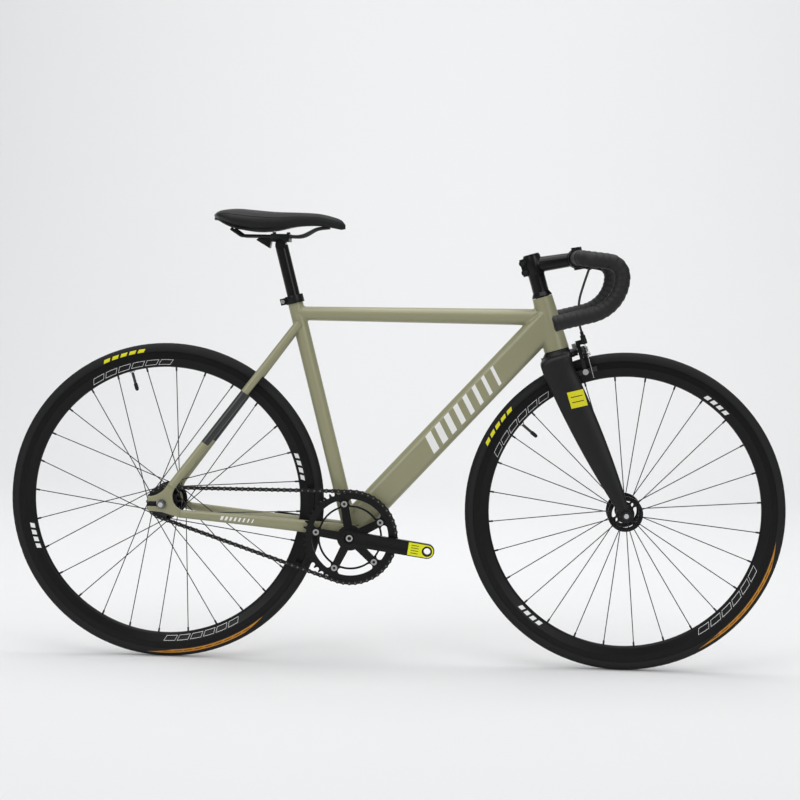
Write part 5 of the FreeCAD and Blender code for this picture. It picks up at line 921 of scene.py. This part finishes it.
class Trail:
    """A line walked by straight runs and arcs, kept as frames at even steps."""

    def __init__(self, start: Vector, heading: Vector, side: Vector, step: float) -> None:
        """Stand at a point, facing along a heading.

        Args:
            start: The first point.
            heading: The direction of travel.
            side: A direction across it.
            step: The distance between frames.
        """
        facing = heading.normalized()
        across = side.normalized()
        turn = Matrix((across, facing.cross(across), facing)).transposed()
        self.step = step
        self.frames = [Matrix.Translation(start) @ turn.to_4x4()]

    def straight(self, length: float) -> "Trail":
        """Walk straight on."""
        count = max(1, round(length / self.step))
        for _ in range(count):
            self.frames.append(self.frames[-1] @ Matrix.Translation((0.0, 0.0, length / count)))
        return self

    def bend(self, axis: Vector, radius: float, degrees: float) -> "Trail":
        """Walk round an arc about an axis, turning by the right-hand rule."""
        last = self.frames[-1]
        facing = last.to_3x3() @ Vector((0.0, 0.0, 1.0))
        centre = Matrix.Translation(last.translation + axis.cross(facing).normalized() * radius)
        count = max(2, round(math.radians(degrees) * radius / self.step))
        for index in range(1, count + 1):
            turn = Matrix.Rotation(math.radians(degrees) * index / count, 4, axis)
            self.frames.append(centre @ turn @ centre.inverted() @ last)
        return self


def skinned(rings: Sequence[Sequence[Vector]], loop: bool = False) -> bmesh.types.BMesh:
    """A closed surface through rings of corners.

    Args:
        rings: The corners of each ring, as many in each.
        loop: Whether the last ring joins the first; if not, both ends are filled.

    Returns:
        The mesh, whose corners keep the numbers of their ring and of their place in it.
    """
    mesh = bmesh.new()
    row_of = mesh.verts.layers.int.new("row")
    corner_of = mesh.verts.layers.int.new("corner")
    ring = bmesh.ops.create_circle(mesh, segments=len(rings[0]), radius=1.0)["verts"]
    for index, corner in enumerate(sorted(ring, key=lambda spot: math.atan2(spot.co.y, spot.co.x))):
        corner[corner_of] = index
    first = list({edge for corner in ring for edge in corner.link_edges})
    edges = first
    for row, points in enumerate(rings):
        if row:
            ring, edges = pulled(mesh, edges)
        for corner in ring:
            corner[row_of] = row
            corner.co = points[corner[corner_of]]
    if loop:
        bmesh.ops.bridge_loops(mesh, edges=first + edges)
    else:
        bmesh.ops.contextual_create(mesh, geom=first)
        bmesh.ops.contextual_create(mesh, geom=edges)
    bmesh.ops.recalc_face_normals(mesh, faces=mesh.faces)
    return mesh


def sweep(frames: Sequence[Matrix], radius: Callable[[float, float], float],
          segments: int, chart_radius: float = 16 * MM) -> bmesh.types.BMesh:
    """A tube along frames.

    Args:
        frames: Places whose local Z runs along the tube.
        radius: The tube's radius at a distance along it and an angle round it.
        segments: Corners in each ring.
        chart_radius: The radius at which the map is true to size.

    Returns:
        The mesh, with a map of distance round and along the surface, named wrap.
    """
    turns = [math.tau * index / segments for index in range(segments)]
    rings, marks, before = [], [0.0], frames[0]
    for place in frames:
        marks.append(marks[-1] + (place.translation - before.translation).length)
        reaches = [radius(marks[-1], turn) for turn in turns]
        rings.append([place @ Vector((reach * math.cos(turn), reach * math.sin(turn), 0.0))
                      for reach, turn in zip(reaches, turns)])
        before = place
    mesh = skinned(rings)
    row_of = mesh.verts.layers.int["row"]
    corner_of = mesh.verts.layers.int["corner"]
    chart = mesh.loops.layers.uv.new("wrap")
    for face in mesh.faces:
        places = [corner.vert[corner_of] for corner in face.loops]
        crosses = max(places) - min(places) > segments / 2
        for corner in face.loops:
            place = corner.vert[corner_of] + (segments if crosses and not corner.vert[corner_of] else 0)
            corner[chart].uv = (math.tau * place / segments * chart_radius, marks[corner.vert[row_of] + 1])
    return mesh


# The frame

@dataclass(frozen=True)
class Weld:
    """The joint where a tube's end runs into other tubes."""

    name: str
    tube: str
    mates: tuple[str, ...]
    start: Vector
    heading: Vector
    leg: float = 5.0 * MM
    outside: float = 45.0 * MM

    def mirrored(self) -> "Weld":
        """The same joint on the left."""
        over = Matrix.Diagonal((1.0, -1.0, 1.0))
        return replace(self, name=f"{self.name}_left", start=over @ self.start, heading=over @ self.heading)


STAY_WELDS = (
    Weld("seatstay_top", "seatstays", ("seat_tube",), Vector((-0.23668, -0.01987, 0.680)),
         Vector((0.5949, 0.1142, 0.7957)), 3.6 * MM, 0.019),
    Weld("chainstay_front", "chainstays", ("bottom_bracket_shell", "seat_tube", "down_tube"),
         Vector((-0.150, -0.02394, 0.28813)), Vector((0.9938, 0.0601, -0.0939)), 3.6 * MM, 0.019),
)
WELDS = (
    Weld("top_tube_front", "top_tube", ("head_tube", "down_tube"), Vector((0.240, 0.0, 0.7419)),
         Vector((1.0, 0.0, 0.0033))),
    Weld("top_tube_rear", "top_tube", ("seat_tube",), Vector((-0.170, 0.0, 0.7405)),
         Vector((-1.0, 0.0, -0.0033))),
    Weld("down_tube_front", "down_tube", ("head_tube", "top_tube"), Vector((0.25211, 0.0, 0.6654)),
         Vector((0.6737, 0.0, 0.7390))),
    Weld("down_tube_rear", "down_tube", ("bottom_bracket_shell", "seat_tube"),
         Vector((-0.03762, 0.0, 0.34767)), Vector((-0.6737, 0.0, -0.7390))),
    Weld("seat_tube_foot", "seat_tube", ("bottom_bracket_shell", "down_tube"), Vector((-0.12238, 0.0, 0.400)),
         Vector((0.2521, 0.0, -0.9677))),
    *STAY_WELDS, *(weld.mirrored() for weld in STAY_WELDS),
)


@dataclass
class FrameTubes:
    """The painted tubes, their welds and the seat clamp."""

    paints: Paints
    weld_steps: int = 96
    weld_curve: int = 6
    weld_root: float = 0.8 * MM
    weld_sink: float = 0.15 * MM
    painted: tuple[str, ...] = ("head_tube", "top_tube", "down_tube", "seat_tube", "bottom_bracket_shell",
                                "chainstays", "seatstays")

    def build(self) -> None:
        """Dress the tubes and lay the welds."""
        dress(self.paints.frame, *self.painted)
        soften("track_ends", Body.FRAME, self.paints.frame, 1.2 * MM)
        soften("seat_clamp", Body.FRAME, self.paints.clamp, 0.5 * MM)
        dress(self.paints.alloy, "bottom_bracket_cups")
        dress(self.paints.steel, "headset_bearings", "rear_axle")
        dress(self.paints.grey_steel, "rear_axle_nuts")
        for weld in WELDS:
            mesh = skinned(self.fillet(weld), loop=True)
            settle(mesh, f"{weld.name}_weld", Body.FRAME, self.paints.frame, sharp=75.0)

    @staticmethod
    def shell(node: str) -> BVHTree:
        """A node's surface, ready for lines to be cast at it."""
        mesh = bmesh.new()
        mesh.from_mesh(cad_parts[node].data)
        tree = BVHTree.FromBMesh(mesh)
        mesh.free()
        return tree

    def fillet(self, weld: Weld) -> list[list[Vector]]:
        """Follow the tube's skin to the joint all the way round and draw a hollow fillet there.

        Args:
            weld: The joint.

        Returns:
            The fillet's section at each step round the tube.
        """
        tube = self.shell(weld.tube)
        mates = [self.shell(mate) for mate in weld.mates]
        heading = weld.heading.normalized()
        across = heading.orthogonal().normalized()
        above = heading.cross(across)
        sections = []
        for step in range(self.weld_steps):
            turn = math.tau * step / self.weld_steps
            radial = across * math.cos(turn) + above * math.sin(turn)
            skin, normal, _, _ = tube.ray_cast(weld.start + radial * weld.outside, -radial)
            hits = [mate.ray_cast(skin + normal * self.weld_sink, heading) for mate in mates]
            met = [hit for hit in hits if hit[0] is not None]
            if met:
                joint, facing, _, _ = min(met, key=lambda hit: hit[3])
                sections.append(self.section(joint, normal, facing, -heading * weld.leg, weld.leg))
        return sections

    def section(self, joint: Vector, normal: Vector, facing: Vector, back: Vector, leg: float) -> list[Vector]:
        """The corners of a fillet's section.

        Args:
            joint: Where the two surfaces meet.
            normal: The welded tube's outward direction.
            facing: The other tube's outward direction.
            back: The step back along the welded tube.
            leg: The fillet's reach over the other tube.

        Returns:
            The corners, from one toe over the hollow to the other toe and round the root.
        """
        rise = (normal - facing * normal.dot(facing)).normalized() * leg
        curve = []
        for index in range(self.weld_curve + 1):
            share = index / self.weld_curve
            curve.append(joint + back * (1 - share) ** 2 + rise * share ** 2
                         - normal * self.weld_sink * (1 - share) - facing * self.weld_sink * share)
        return [*curve, joint - (normal + facing) * self.weld_root]


# The cockpit

@dataclass
class Cockpit:
    """Fork, headset stack, stem, bar and wrap."""

    paints: Paints
    wrap_radius: float = 15.7 * MM
    wrap_step: float = 0.9 * MM
    wrap_pitch: float = 12.5 * MM
    wrap_edge: float = 0.12
    wrap_corners: int = 44
    route_step: float = 0.9 * MM
    tape_overhang: float = 4 * MM
    wrap_start: float = 0.104
    bend_start: float = 0.165
    bend_radius: float = 0.035
    ramp_angle: float = 6.0
    ramp_length: float = 21.5 * MM
    hook_radius: float = 31.5 * MM
    drop_radius: float = 0.078
    tail_angle: float = 14.4
    tail_length: float = 0.073
    fork_foot: Vector = Vector((0.439477, 0.0, 0.322367))
    steer_up: Vector = Vector((-0.2840, 0.0, 0.9588))
    steer_forward: Vector = Vector((0.9588, 0.0, 0.2840))
    pinch_bolts: tuple[tuple[float, float], ...] = ((0.26525, 0.83455), (0.25955, 0.85375))
    boss_radius: float = 7.6 * MM
    boss_start: float = 0.9 * MM
    boss_face: float = 11.4 * MM
    boss_ease: float = 1.0 * MM
    crown_corners: dict[tuple[bool, bool], tuple[float, ...]] = field(default_factory=lambda: {
        (True, False): (33.0 * MM, 0.3570, 32.0 * MM, -4.0 * MM),
        (False, False): (48.0 * MM, 0.3550, 38.0 * MM, -8.0 * MM),
        (True, True): (17.5 * MM, 0.3445, 33.5 * MM, -6.0 * MM),
        (False, True): (47.5 * MM, 0.3330, 38.5 * MM, -11.0 * MM)})
    crown_neck: tuple[tuple[float, float, float, float], ...] = (
        (0.3630, -1.0 * MM, 30.0 * MM, 31.0 * MM), (0.3664, 0.0, 28.2 * MM, 28.2 * MM))
    crown_legs: tuple[tuple[float, float, float, float, float], ...] = (
        (0.3160, -6.7 * MM, 36.0 * MM, 20.2 * MM, 45.6 * MM),
        (0.3000, -3.3 * MM, 36.0 * MM, 21.4 * MM, 46.4 * MM),
        (0.2790, 0.3 * MM, 35.6 * MM, 23.4 * MM, 47.2 * MM),
        (0.2500, 5.3 * MM, 32.6 * MM, 26.6 * MM, 47.6 * MM))

    def build(self) -> None:
        """Dress the nodes, ease the clamps and wind the wrap."""
        dress(self.paints.fork, "fork")
        dress(self.paints.gloss_black, "handlebar", "headset_spacers")
        dress(self.paints.plastic, "bar_end_plugs")
        dress(self.paints.dark_steel, "stem_bolts", "front_axle_nuts")
        dress(self.paints.steel, "front_axle")
        for node, width in (("stem", 0.9 * MM), ("stem_faceplate", 0.8 * MM), ("stem_top_cap", 0.4 * MM)):
            soften(node, Body.STEERING, self.paints.gloss_black, width)
        self.boss_stem()
        self.fair_crown()
        self.wind_wrap()

    def boss_stem(self) -> None:
        """Round bosses under the stem's two pinch bolts, on both sides of the split."""
        radius, start, end, ease = self.boss_radius, self.boss_start, self.boss_face, self.boss_ease
        outline = [(0.0, start), (radius, start), (radius, end - ease), (radius - 0.3 * ease, end - 0.3 * ease),
                   (radius - ease, end), (0.0, end)]
        for index, (x, z) in enumerate(self.pinch_bolts):
            for side, sign in SIDES.items():
                turned_piece(f"stem_boss_{index}_{side}", Body.STEERING, self.paints.gloss_black,
                             Vector((x, 0.0, z)), LEFT * sign, outline)

    def fair_crown(self) -> None:
        """Fair the fork's crown into its blades with one smooth skin over a coarse cage."""
        mesh = bmesh.new()
        crease = mesh.edges.layers.float.new("crease_edge")
        bmesh.ops.create_cube(mesh, size=2.0)
        ribs = [edge for edge in mesh.edges if abs((edge.verts[0].co - edge.verts[1].co).y) > 1.0]
        bmesh.ops.subdivide_edges(mesh, edges=ribs, cuts=2, use_grid_fill=True)
        for corner in mesh.verts:
            middle = abs(corner.co.y) < 0.5
            low = corner.co.z < 0
            span, rise, depth, back = self.crown_corners[(middle, low)]
            corner.co = (back + math.copysign(depth, corner.co.x), math.copysign(span, corner.co.y), rise)
        bmesh.ops.recalc_face_normals(mesh, faces=mesh.faces)
        top = [face for face in mesh.faces if face.normal.z > 0.9 and abs(face.calc_center_median().y) < MM]
        for rise, forward, half, side in self.crown_neck:
            top = self.grown(mesh, top, forward, half, (-side, side), rise)
        for edge in top[0].edges:
            edge[crease] = 1.0
        for sign in SIDES.values():
            foot = [face for face in mesh.faces
                    if face.normal.z < -0.7 and face.calc_center_median().y * sign > 25 * MM]
            for rise, forward, half, inner, outer in self.crown_legs:
                foot = self.grown(mesh, foot, forward, half, (sign * inner, sign * outer), rise)
        axes = Matrix((self.steer_forward, LEFT, self.steer_up)).transposed().to_4x4()
        bmesh.ops.transform(mesh, matrix=Matrix.Translation(self.fork_foot) @ axes, verts=mesh.verts)
        bmesh.ops.recalc_face_normals(mesh, faces=mesh.faces)
        skin = settle(mesh, "fork_crown_skin", Body.STEERING, self.paints.fork, sharp=180.0)
        smooth = skin.modifiers.new("smooth", "SUBSURF")
        smooth.levels = smooth.render_levels = 3

    @staticmethod
    def grown(mesh: bmesh.types.BMesh, faces: Sequence[Any], forward: float, half: float,
              sides: tuple[float, float], rise: float) -> list[Any]:
        """Draw a square end out to a new place and size.

        Args:
            mesh: The cage.
            faces: The end face.
            forward: The middle of the new end, forward of the steering axis.
            half: Half of its depth.
            sides: Its two sides, to the left of the middle.
            rise: Its height along the steering axis.

        Returns:
            The new end face.
        """
        made = bmesh.ops.extrude_face_region(mesh, geom=list(faces))["geom"]
        bmesh.ops.delete(mesh, geom=list(faces), context="FACES_ONLY")
        corners = parts_of(made, bmesh.types.BMVert)
        middle = sum((corner.co for corner in corners), Vector()) / len(corners)
        low, high = min(sides), max(sides)
        for corner in corners:
            corner.co = (forward + math.copysign(half, corner.co.x - middle.x),
                         high if corner.co.y > middle.y else low, rise)
        return parts_of(made, bmesh.types.BMFace)

    def route(self, sign: float) -> Trail:
        """The wrap's centre line on one side."""
        outward = LEFT * sign
        ramp = Vector((math.cos(math.radians(self.ramp_angle)), 0.0, -math.sin(math.radians(self.ramp_angle))))
        trail = Trail(BAR_CENTRE + outward * self.wrap_start, outward, UP, self.route_step)
        trail.straight(self.bend_start - self.wrap_start)
        trail.bend(outward.cross(ramp).normalized(), self.bend_radius, 90.0)
        trail.straight(self.ramp_length)
        trail.bend(LEFT, self.hook_radius, 90.0 - self.ramp_angle)
        trail.bend(LEFT, self.drop_radius, 90.0 - self.tail_angle)
        return trail.straight(self.tail_length)

    def wind_wrap(self) -> None:
        """Wind an overlapping strip round each side of the bar."""
        def reach(along: float, turn: float) -> float:
            """The wrap's radius: each turn climbs to its free edge and steps down to the next."""
            phase = (along / self.wrap_pitch - turn / math.tau) % 1.0
            edge = self.wrap_edge
            climb = phase / (1 - edge) if phase < 1 - edge else (1 - phase) / edge
            swell = climb * climb * (3 - 2 * climb)
            return self.wrap_radius - self.wrap_step / 2 + self.wrap_step * swell

        both = bmesh.new()
        for sign in SIDES.values():
            half = sweep(self.route(sign).frames, reach, self.wrap_corners)
            scratch = bpy.data.meshes.new("wrap_half")
            half.to_mesh(scratch)
            half.free()
            both.from_mesh(scratch)
            bpy.data.meshes.remove(scratch)
        settle(both, "bar_wrap", Body.STEERING, self.paints.wrap, ["bar_tape"], sharp=70.0)
        for side, sign in SIDES.items():
            start = BAR_CENTRE + LEFT * sign * (self.wrap_start - self.tape_overhang)
            turned_piece(f"finishing_tape_{side}", Body.STEERING, self.paints.plastic, start, LEFT * sign,
                         in_mm((11.95, 0.0), (12.6, 0.2), (13.0, 3.0), (15.6, 7.0), (16.1, 16.0), (14.0, 16.4),
                               (11.95, 16.4)))


# The front brake

@dataclass
class FrontBrake:
    """Lever, caliper, housing and cable."""

    paints: Paints

    def build(self) -> None:
        """Ease the levers and arms and dress the rest."""
        soften("brake_lever", Body.LEVER, self.paints.alloy, 1.4 * MM)
        soften("brake_lever_body", Body.STEERING, self.paints.alloy, 0.5 * MM)
        for side, body in (("right", Body.CALIPER_RIGHT), ("left", Body.CALIPER_LEFT)):
            soften(f"caliper_arm_{side}", body, self.paints.gloss_black, 1.2 * MM)
            soften(f"brake_shoe_{side}", body, self.paints.shoe, 0.6 * MM)
        soften("brake_mount", Body.STEERING, self.paints.brake_bolt, 0.4 * MM)
        dress(self.paints.alloy, "barrel_adjuster")
        dress(self.paints.rubber, "brake_housing")
        dress(self.paints.steel, "brake_cable")


# The wheels

@dataclass
class Wheel:
    """One wheel: tyre, rim, spokes, hub and valve."""

    paints: Paints
    name: str
    body: Body
    valve_angle: float
    rim_inner: float = 0.285
    valve_length: float = 0.040
    valve_steps: int = 24

    def build(self) -> None:
        """Dress the wheel and fit its valve."""
        dress(self.paints.tyres[self.name], f"{self.name}_tyre")
        dress(self.paints.rims[self.name], f"{self.name}_rim")
        dress(self.paints.dark_steel, f"{self.name}_spokes")
        dress(self.paints.steel, f"{self.name}_hub_bearings")
        dress(self.paints.rubber, f"{self.name}_inner_tube")
        soften(f"{self.name}_hub", self.body, self.paints.gloss_black, 0.35 * MM, segments=2)
        self.fit_valve()

    def fit_valve(self) -> None:
        """A ring nut against the rim and a cap on the end of the valve."""
        angle = math.radians(self.valve_angle)
        outward = Vector((math.cos(angle), 0.0, math.sin(angle)))
        seat = AXLES[self.name] + outward * self.rim_inner
        turned_piece(f"{self.name}_valve_nut", self.body, self.paints.steel, seat, -outward,
                     in_mm((3.02, 0.0), (5.6, 0.0), (5.6, 2.2), (5.0, 2.8), (3.02, 2.8)), self.valve_steps)
        tip = seat - outward * self.valve_length
        turned_piece(f"{self.name}_valve_cap", self.body, self.paints.plastic, tip, -outward,
                     in_mm((3.05, -13.0), (4.1, -13.0), (4.1, -2.0), (3.2, 1.5), (1.6, 2.6), (0.0, 2.8)),
                     self.valve_steps)


# The drive

@dataclass
class Drive:
    """Cranks, chainring, chain and cog."""

    paints: Paints
    arm_angle: float = 28.0
    web_corners: int = 200
    web_waist: float = 25.0 * MM
    web_reach: float = 48.0 * MM
    web_face: float = -50.4 * MM
    web_thickness: float = 4.2 * MM
    web_sweep: int = 5
    web_ease: float = 0.9 * MM
    arms: int = 5

    def build(self) -> None:
        """Ease the cranks, dress the rest and web the spider."""
        for side in SIDES:
            soften(f"crank_{side}", Body.CRANKS, self.paints.crank, 1.6 * MM)
        dress(self.paints.alloy, "chainring")
        dress(self.paints.chain, "chain")
        dress(self.paints.ring_bolt, "chainring_bolts")
        dress(self.paints.crank_bolt, "crank_bolts")
        dress(self.paints.steel, "bottom_bracket_spindle")
        dress(self.paints.dark_steel, "cog", "cog_lockring")
        self.web_spider()

    def web_spider(self) -> None:
        """Fill the roots of the chainring arms with a star whose sides sweep in from arm to arm."""
        mesh = bmesh.new()
        ring = bmesh.ops.create_circle(mesh, cap_ends=True, segments=self.web_corners, radius=1.0)["verts"]
        for corner in ring:
            turn = math.atan2(corner.co.y, corner.co.x)
            lobe = abs(math.cos(self.arms / 2 * (turn - math.radians(self.arm_angle)))) ** self.web_sweep
            reach = self.web_waist + (self.web_reach - self.web_waist) * lobe
            corner.co = (BRACKET.x + reach * math.cos(turn), self.web_face, BRACKET.z + reach * math.sin(turn))
        grown = bmesh.ops.extrude_face_region(mesh, geom=mesh.faces[:])["geom"]
        back = parts_of(grown, bmesh.types.BMVert)
        bmesh.ops.translate(mesh, verts=back, vec=LEFT * self.web_thickness)
        bmesh.ops.recalc_face_normals(mesh, faces=mesh.faces)
        round_over(mesh, self.web_ease, past=60.0)
        settle(mesh, "spider_web", Body.CRANKS, self.paints.crank)


# The seat

@dataclass
class Seat:
    """Seatpost, clamp, rails and the padded saddle."""

    paints: Paints
    tail: float = -0.38761
    length: float = 0.274
    half_width: float = 0.069
    rail_height: float = 0.90109
    height: float = 0.057
    rows: int = 64
    corners: int = 72
    stations: tuple[tuple[float, float, float, float], ...] = (
        (0.0, 0.36, 0.80, 0.66), (0.03, 0.66, 0.90, 0.58), (0.09, 0.90, 0.965, 0.44), (0.18, 1.0, 1.0, 0.25),
        (0.32, 0.93, 0.955, 0.15), (0.47, 0.66, 0.905, 0.20), (0.63, 0.42, 0.895, 0.36),
        (0.80, 0.32, 0.86, 0.40), (0.92, 0.27, 0.735, 0.32), (0.975, 0.20, 0.62, 0.28), (1.0, 0.08, 0.47, 0.33))
    seam_turns: tuple[float, ...] = (26.0, 154.0)
    seam_radius: float = 0.75 * MM
    seam_start: float = 0.02
    seam_share: float = 0.955
    seam_steps: int = 90
    skirt_gap: float = 0.4 * MM
    fill: float = 0.9

    def build(self) -> None:
        """Dress the hard pieces and pad the saddle."""
        dress(self.paints.gloss_black, "seatpost")
        soften("saddle_clamp", Body.CRADLE, self.paints.alloy, 0.8 * MM)
        dress(self.paints.rail, "saddle_rails")
        dress(self.paints.plastic, "saddle_base")
        self.pad_saddle()

    def station(self, share: float) -> tuple[float, ...]:
        """The saddle's breadth, crown and edge at a share of its length, through a smooth curve."""
        places = [place[0] for place in self.stations]
        last = len(places) - 2
        index = max(0, min(last, sum(place <= share for place in places) - 1))
        start, end = places[index], places[index + 1]
        step = (share - start) / (end - start)
        values = []
        for column in (1, 2, 3):
            rise = [row[column] for row in self.stations]

            def slope(spot: int) -> float:
                """The curve's slope at a station."""
                before, after = max(0, spot - 1), min(len(places) - 1, spot + 1)
                return (rise[after] - rise[before]) / (places[after] - places[before])

            square, cube = step * step, step ** 3
            values.append((2 * cube - 3 * square + 1) * rise[index]
                          + (cube - 2 * square + step) * (end - start) * slope(index)
                          + (3 * square - 2 * cube) * rise[index + 1]
                          + (cube - square) * (end - start) * slope(index + 1))
        return tuple(values)

    def outline(self, share: float, turn: float) -> Vector:
        """A point of the cover.

        Args:
            share: The share of the length, from the tail.
            turn: The angle round the section, from the left side up.

        Returns:
            The point.
        """
        breadth, crown, edge = self.station(share)
        half = breadth * self.half_width
        top = self.rail_height + crown * self.height
        foot = self.rail_height + edge * self.height + self.skirt_gap
        widest = foot + 0.40 * (top - foot)
        side, rise = math.cos(turn), math.sin(turn)
        if rise >= 0:
            y = half * math.copysign(abs(side) ** 0.86, side)
            z = widest + (top - widest) * rise ** 0.92
        else:
            y = half * math.copysign(abs(side) ** 0.5, side) * (1 - 0.10 * min(1.0, -rise * 1.6))
            z = widest - (widest - foot) * min(1.0, -rise * 1.25)
        return Vector((self.tail + share * self.length, y, z))

    def pad_saddle(self) -> None:
        """Pad the saddle between its tail and nose, with piping along each side."""
        shares = [0.5 - 0.5 * math.cos(math.pi * row / self.rows) for row in range(self.rows + 1)]
        turns = [math.tau * index / self.corners for index in range(self.corners)]
        mesh = skinned([[self.outline(share, turn) for turn in turns] for share in shares])
        bmesh.ops.smooth_vert(mesh, verts=mesh.verts, factor=0.5, use_axis_x=True, use_axis_y=True,
                              use_axis_z=True)
        cover = settle(mesh, "saddle_cushion", Body.SADDLE, self.paints.skin, ["saddle_cover"], sharp=80.0)
        self.sew_seams()

    def sew_seams(self) -> None:
        """Lay a fine piping along each side, from the tail to the nose."""
        for index, turn in enumerate(self.seam_turns):
            shares = [self.seam_start + self.seam_share * step / self.seam_steps
                      for step in range(self.seam_steps + 1)]
            points = [self.outline(share, math.radians(turn)) for share in shares]
            places = []
            for before, point, after in zip(points, points[1:], points[2:]):
                heading = (after - before).normalized()
                across = heading.cross(UP).normalized()
                facing = Matrix((across, heading.cross(across), heading)).transposed()
                places.append(Matrix.Translation(point) @ facing.to_4x4())
            mesh = sweep(places, lambda _along, _turn: self.seam_radius, 8)
            settle(mesh, f"saddle_piping_{index}", Body.SADDLE, self.paints.plastic)


# The studio

@dataclass
class Studio:
    """Floor, backdrop, lamps, world and camera."""

    camera_place: Vector = Vector((0.23574, -3.81200, 0.82961))
    yaw: float = -0.059641
    pitch: float = 0.070046
    roll: float = 0.018585
    focal_pixels: float = 1812.32
    image_width: float = 800.0
    sensor: float = 36.0
    floor_colour: Colour = (0.78, 0.78, 0.783)
    floor_half: float = 11.0
    floor_front: float = -9.0
    floor_back: float = 3.0
    sweep_radius: float = 2.5
    backdrop_height: float = 6.0
    sky: Colour = (0.95, 0.975, 1.0)
    sky_strength: float = 0.34
    lamps: tuple[tuple[str, tuple[float, float, float], tuple[float, float, float], float, float], ...] = (
        ("overhead", (0.0, -0.9, 3.4), (0.0, 0.0, 0.3), 3.0, 60.0),
        ("front_left", (-2.7, -4.0, 2.4), (-0.1, 0.0, 0.5), 2.4, 52.0),
        ("front_right", (2.9, -3.8, 2.2), (0.2, 0.0, 0.5), 2.2, 38.0),
        ("backdrop_wash", (0.0, 1.8, 5.2), (0.0, 5.4, 2.0), 5.6, 205.0),
    )

    def build(self) -> None:
        """Set the stage."""
        self.lay_floor()
        self.hang_lamps()
        self.light_world()
        self.place_camera()
        bpy.context.scene.view_settings.view_transform = "Standard"

    def lay_floor(self) -> None:
        """A pale floor that sweeps up into a backdrop."""
        mesh = bmesh.new()
        near = [mesh.verts.new((x, self.floor_front, 0.0)) for x in (-self.floor_half, self.floor_half)]
        corners, edges = pulled(mesh, [mesh.edges.new(near)])
        bmesh.ops.translate(mesh, verts=corners, vec=(0.0, self.floor_back - self.floor_front, 0.0))
        swept = bmesh.ops.spin(mesh, geom=corners + edges, cent=(0.0, self.floor_back, self.sweep_radius),
                               axis=(1.0, 0.0, 0.0), angle=math.pi / 2, steps=24)["geom_last"]
        corners, _ = pulled(mesh, parts_of(swept, bmesh.types.BMEdge))
        bmesh.ops.translate(mesh, verts=corners, vec=(0.0, 0.0, self.backdrop_height))
        bmesh.ops.recalc_face_normals(mesh, faces=mesh.faces)
        floor = linked("studio_floor", smooth_mesh(mesh, "studio_floor"))
        board = Board("studio_floor")
        tone = board.mix(board.noise(0.6, 2.0), self.floor_colour,
                         tuple(channel * 0.985 for channel in self.floor_colour))
        floor.data.materials.append(
            board.surface({"Base Color": tone, "Roughness": 0.9, "Specular IOR Level": 0.1}))

    def hang_lamps(self) -> None:
        """Soft square lamps aimed at the bicycle."""
        for name, place, target, width, power in self.lamps:
            light = bpy.data.lights.new(name, "AREA")
            light.energy = power
            light.size = width
            lamp = linked(name, light)
            aim = (Vector(target) - Vector(place)).to_track_quat("-Z", "Y")
            lamp.matrix_world = Matrix.Translation(place) @ aim.to_matrix().to_4x4()

    def light_world(self) -> None:
        """An even pale sky."""
        world = bpy.data.worlds.new("studio_sky")
        bpy.context.scene.world = world
        world.use_nodes = True
        tree = world.node_tree
        tree.nodes.clear()
        sky = tree.nodes.new("ShaderNodeBackground")
        sky.inputs["Color"].default_value = (*self.sky, 1.0)
        sky.inputs["Strength"].default_value = self.sky_strength
        output = tree.nodes.new("ShaderNodeOutputWorld")
        tree.links.new(sky.outputs[0], output.inputs["Surface"])

    def place_camera(self) -> None:
        """The photograph's viewpoint."""
        ahead = Vector((math.sin(self.yaw), math.cos(self.yaw), 0.0))
        right = Vector((math.cos(self.yaw), -math.sin(self.yaw), 0.0))
        facing = ahead * math.cos(self.pitch) - UP * math.sin(self.pitch)
        above = UP * math.cos(self.pitch) + ahead * math.sin(self.pitch)
        across = right * math.cos(self.roll) + above * math.sin(self.roll)
        upright = above * math.cos(self.roll) - right * math.sin(self.roll)
        data = bpy.data.cameras.new("photo_view")
        data.sensor_fit = "HORIZONTAL"
        data.sensor_width = self.sensor
        data.lens = self.focal_pixels * self.sensor / self.image_width
        camera = linked("photo_view", data)
        turn = Matrix((across, upright, -facing)).transposed()
        camera.matrix_world = Matrix.Translation(self.camera_place) @ turn.to_4x4()
        bpy.context.scene.camera = camera


def main() -> None:
    """Build the bicycle's looks, then the studio round it."""
    logging.basicConfig(level=logging.INFO, format="%(name)s: %(message)s")
    paints = Paints()
    Studio().build()
    FrameTubes(paints).build()
    Cockpit(paints).build()
    FrontBrake(paints).build()
    Wheel(paints, "front", Body.FRONT_WHEEL, 140.5).build()
    Wheel(paints, "rear", Body.REAR_WHEEL, 106.0).build()
    Drive(paints).build()
    Seat(paints).build()


if __name__ == "__main__":
    main()
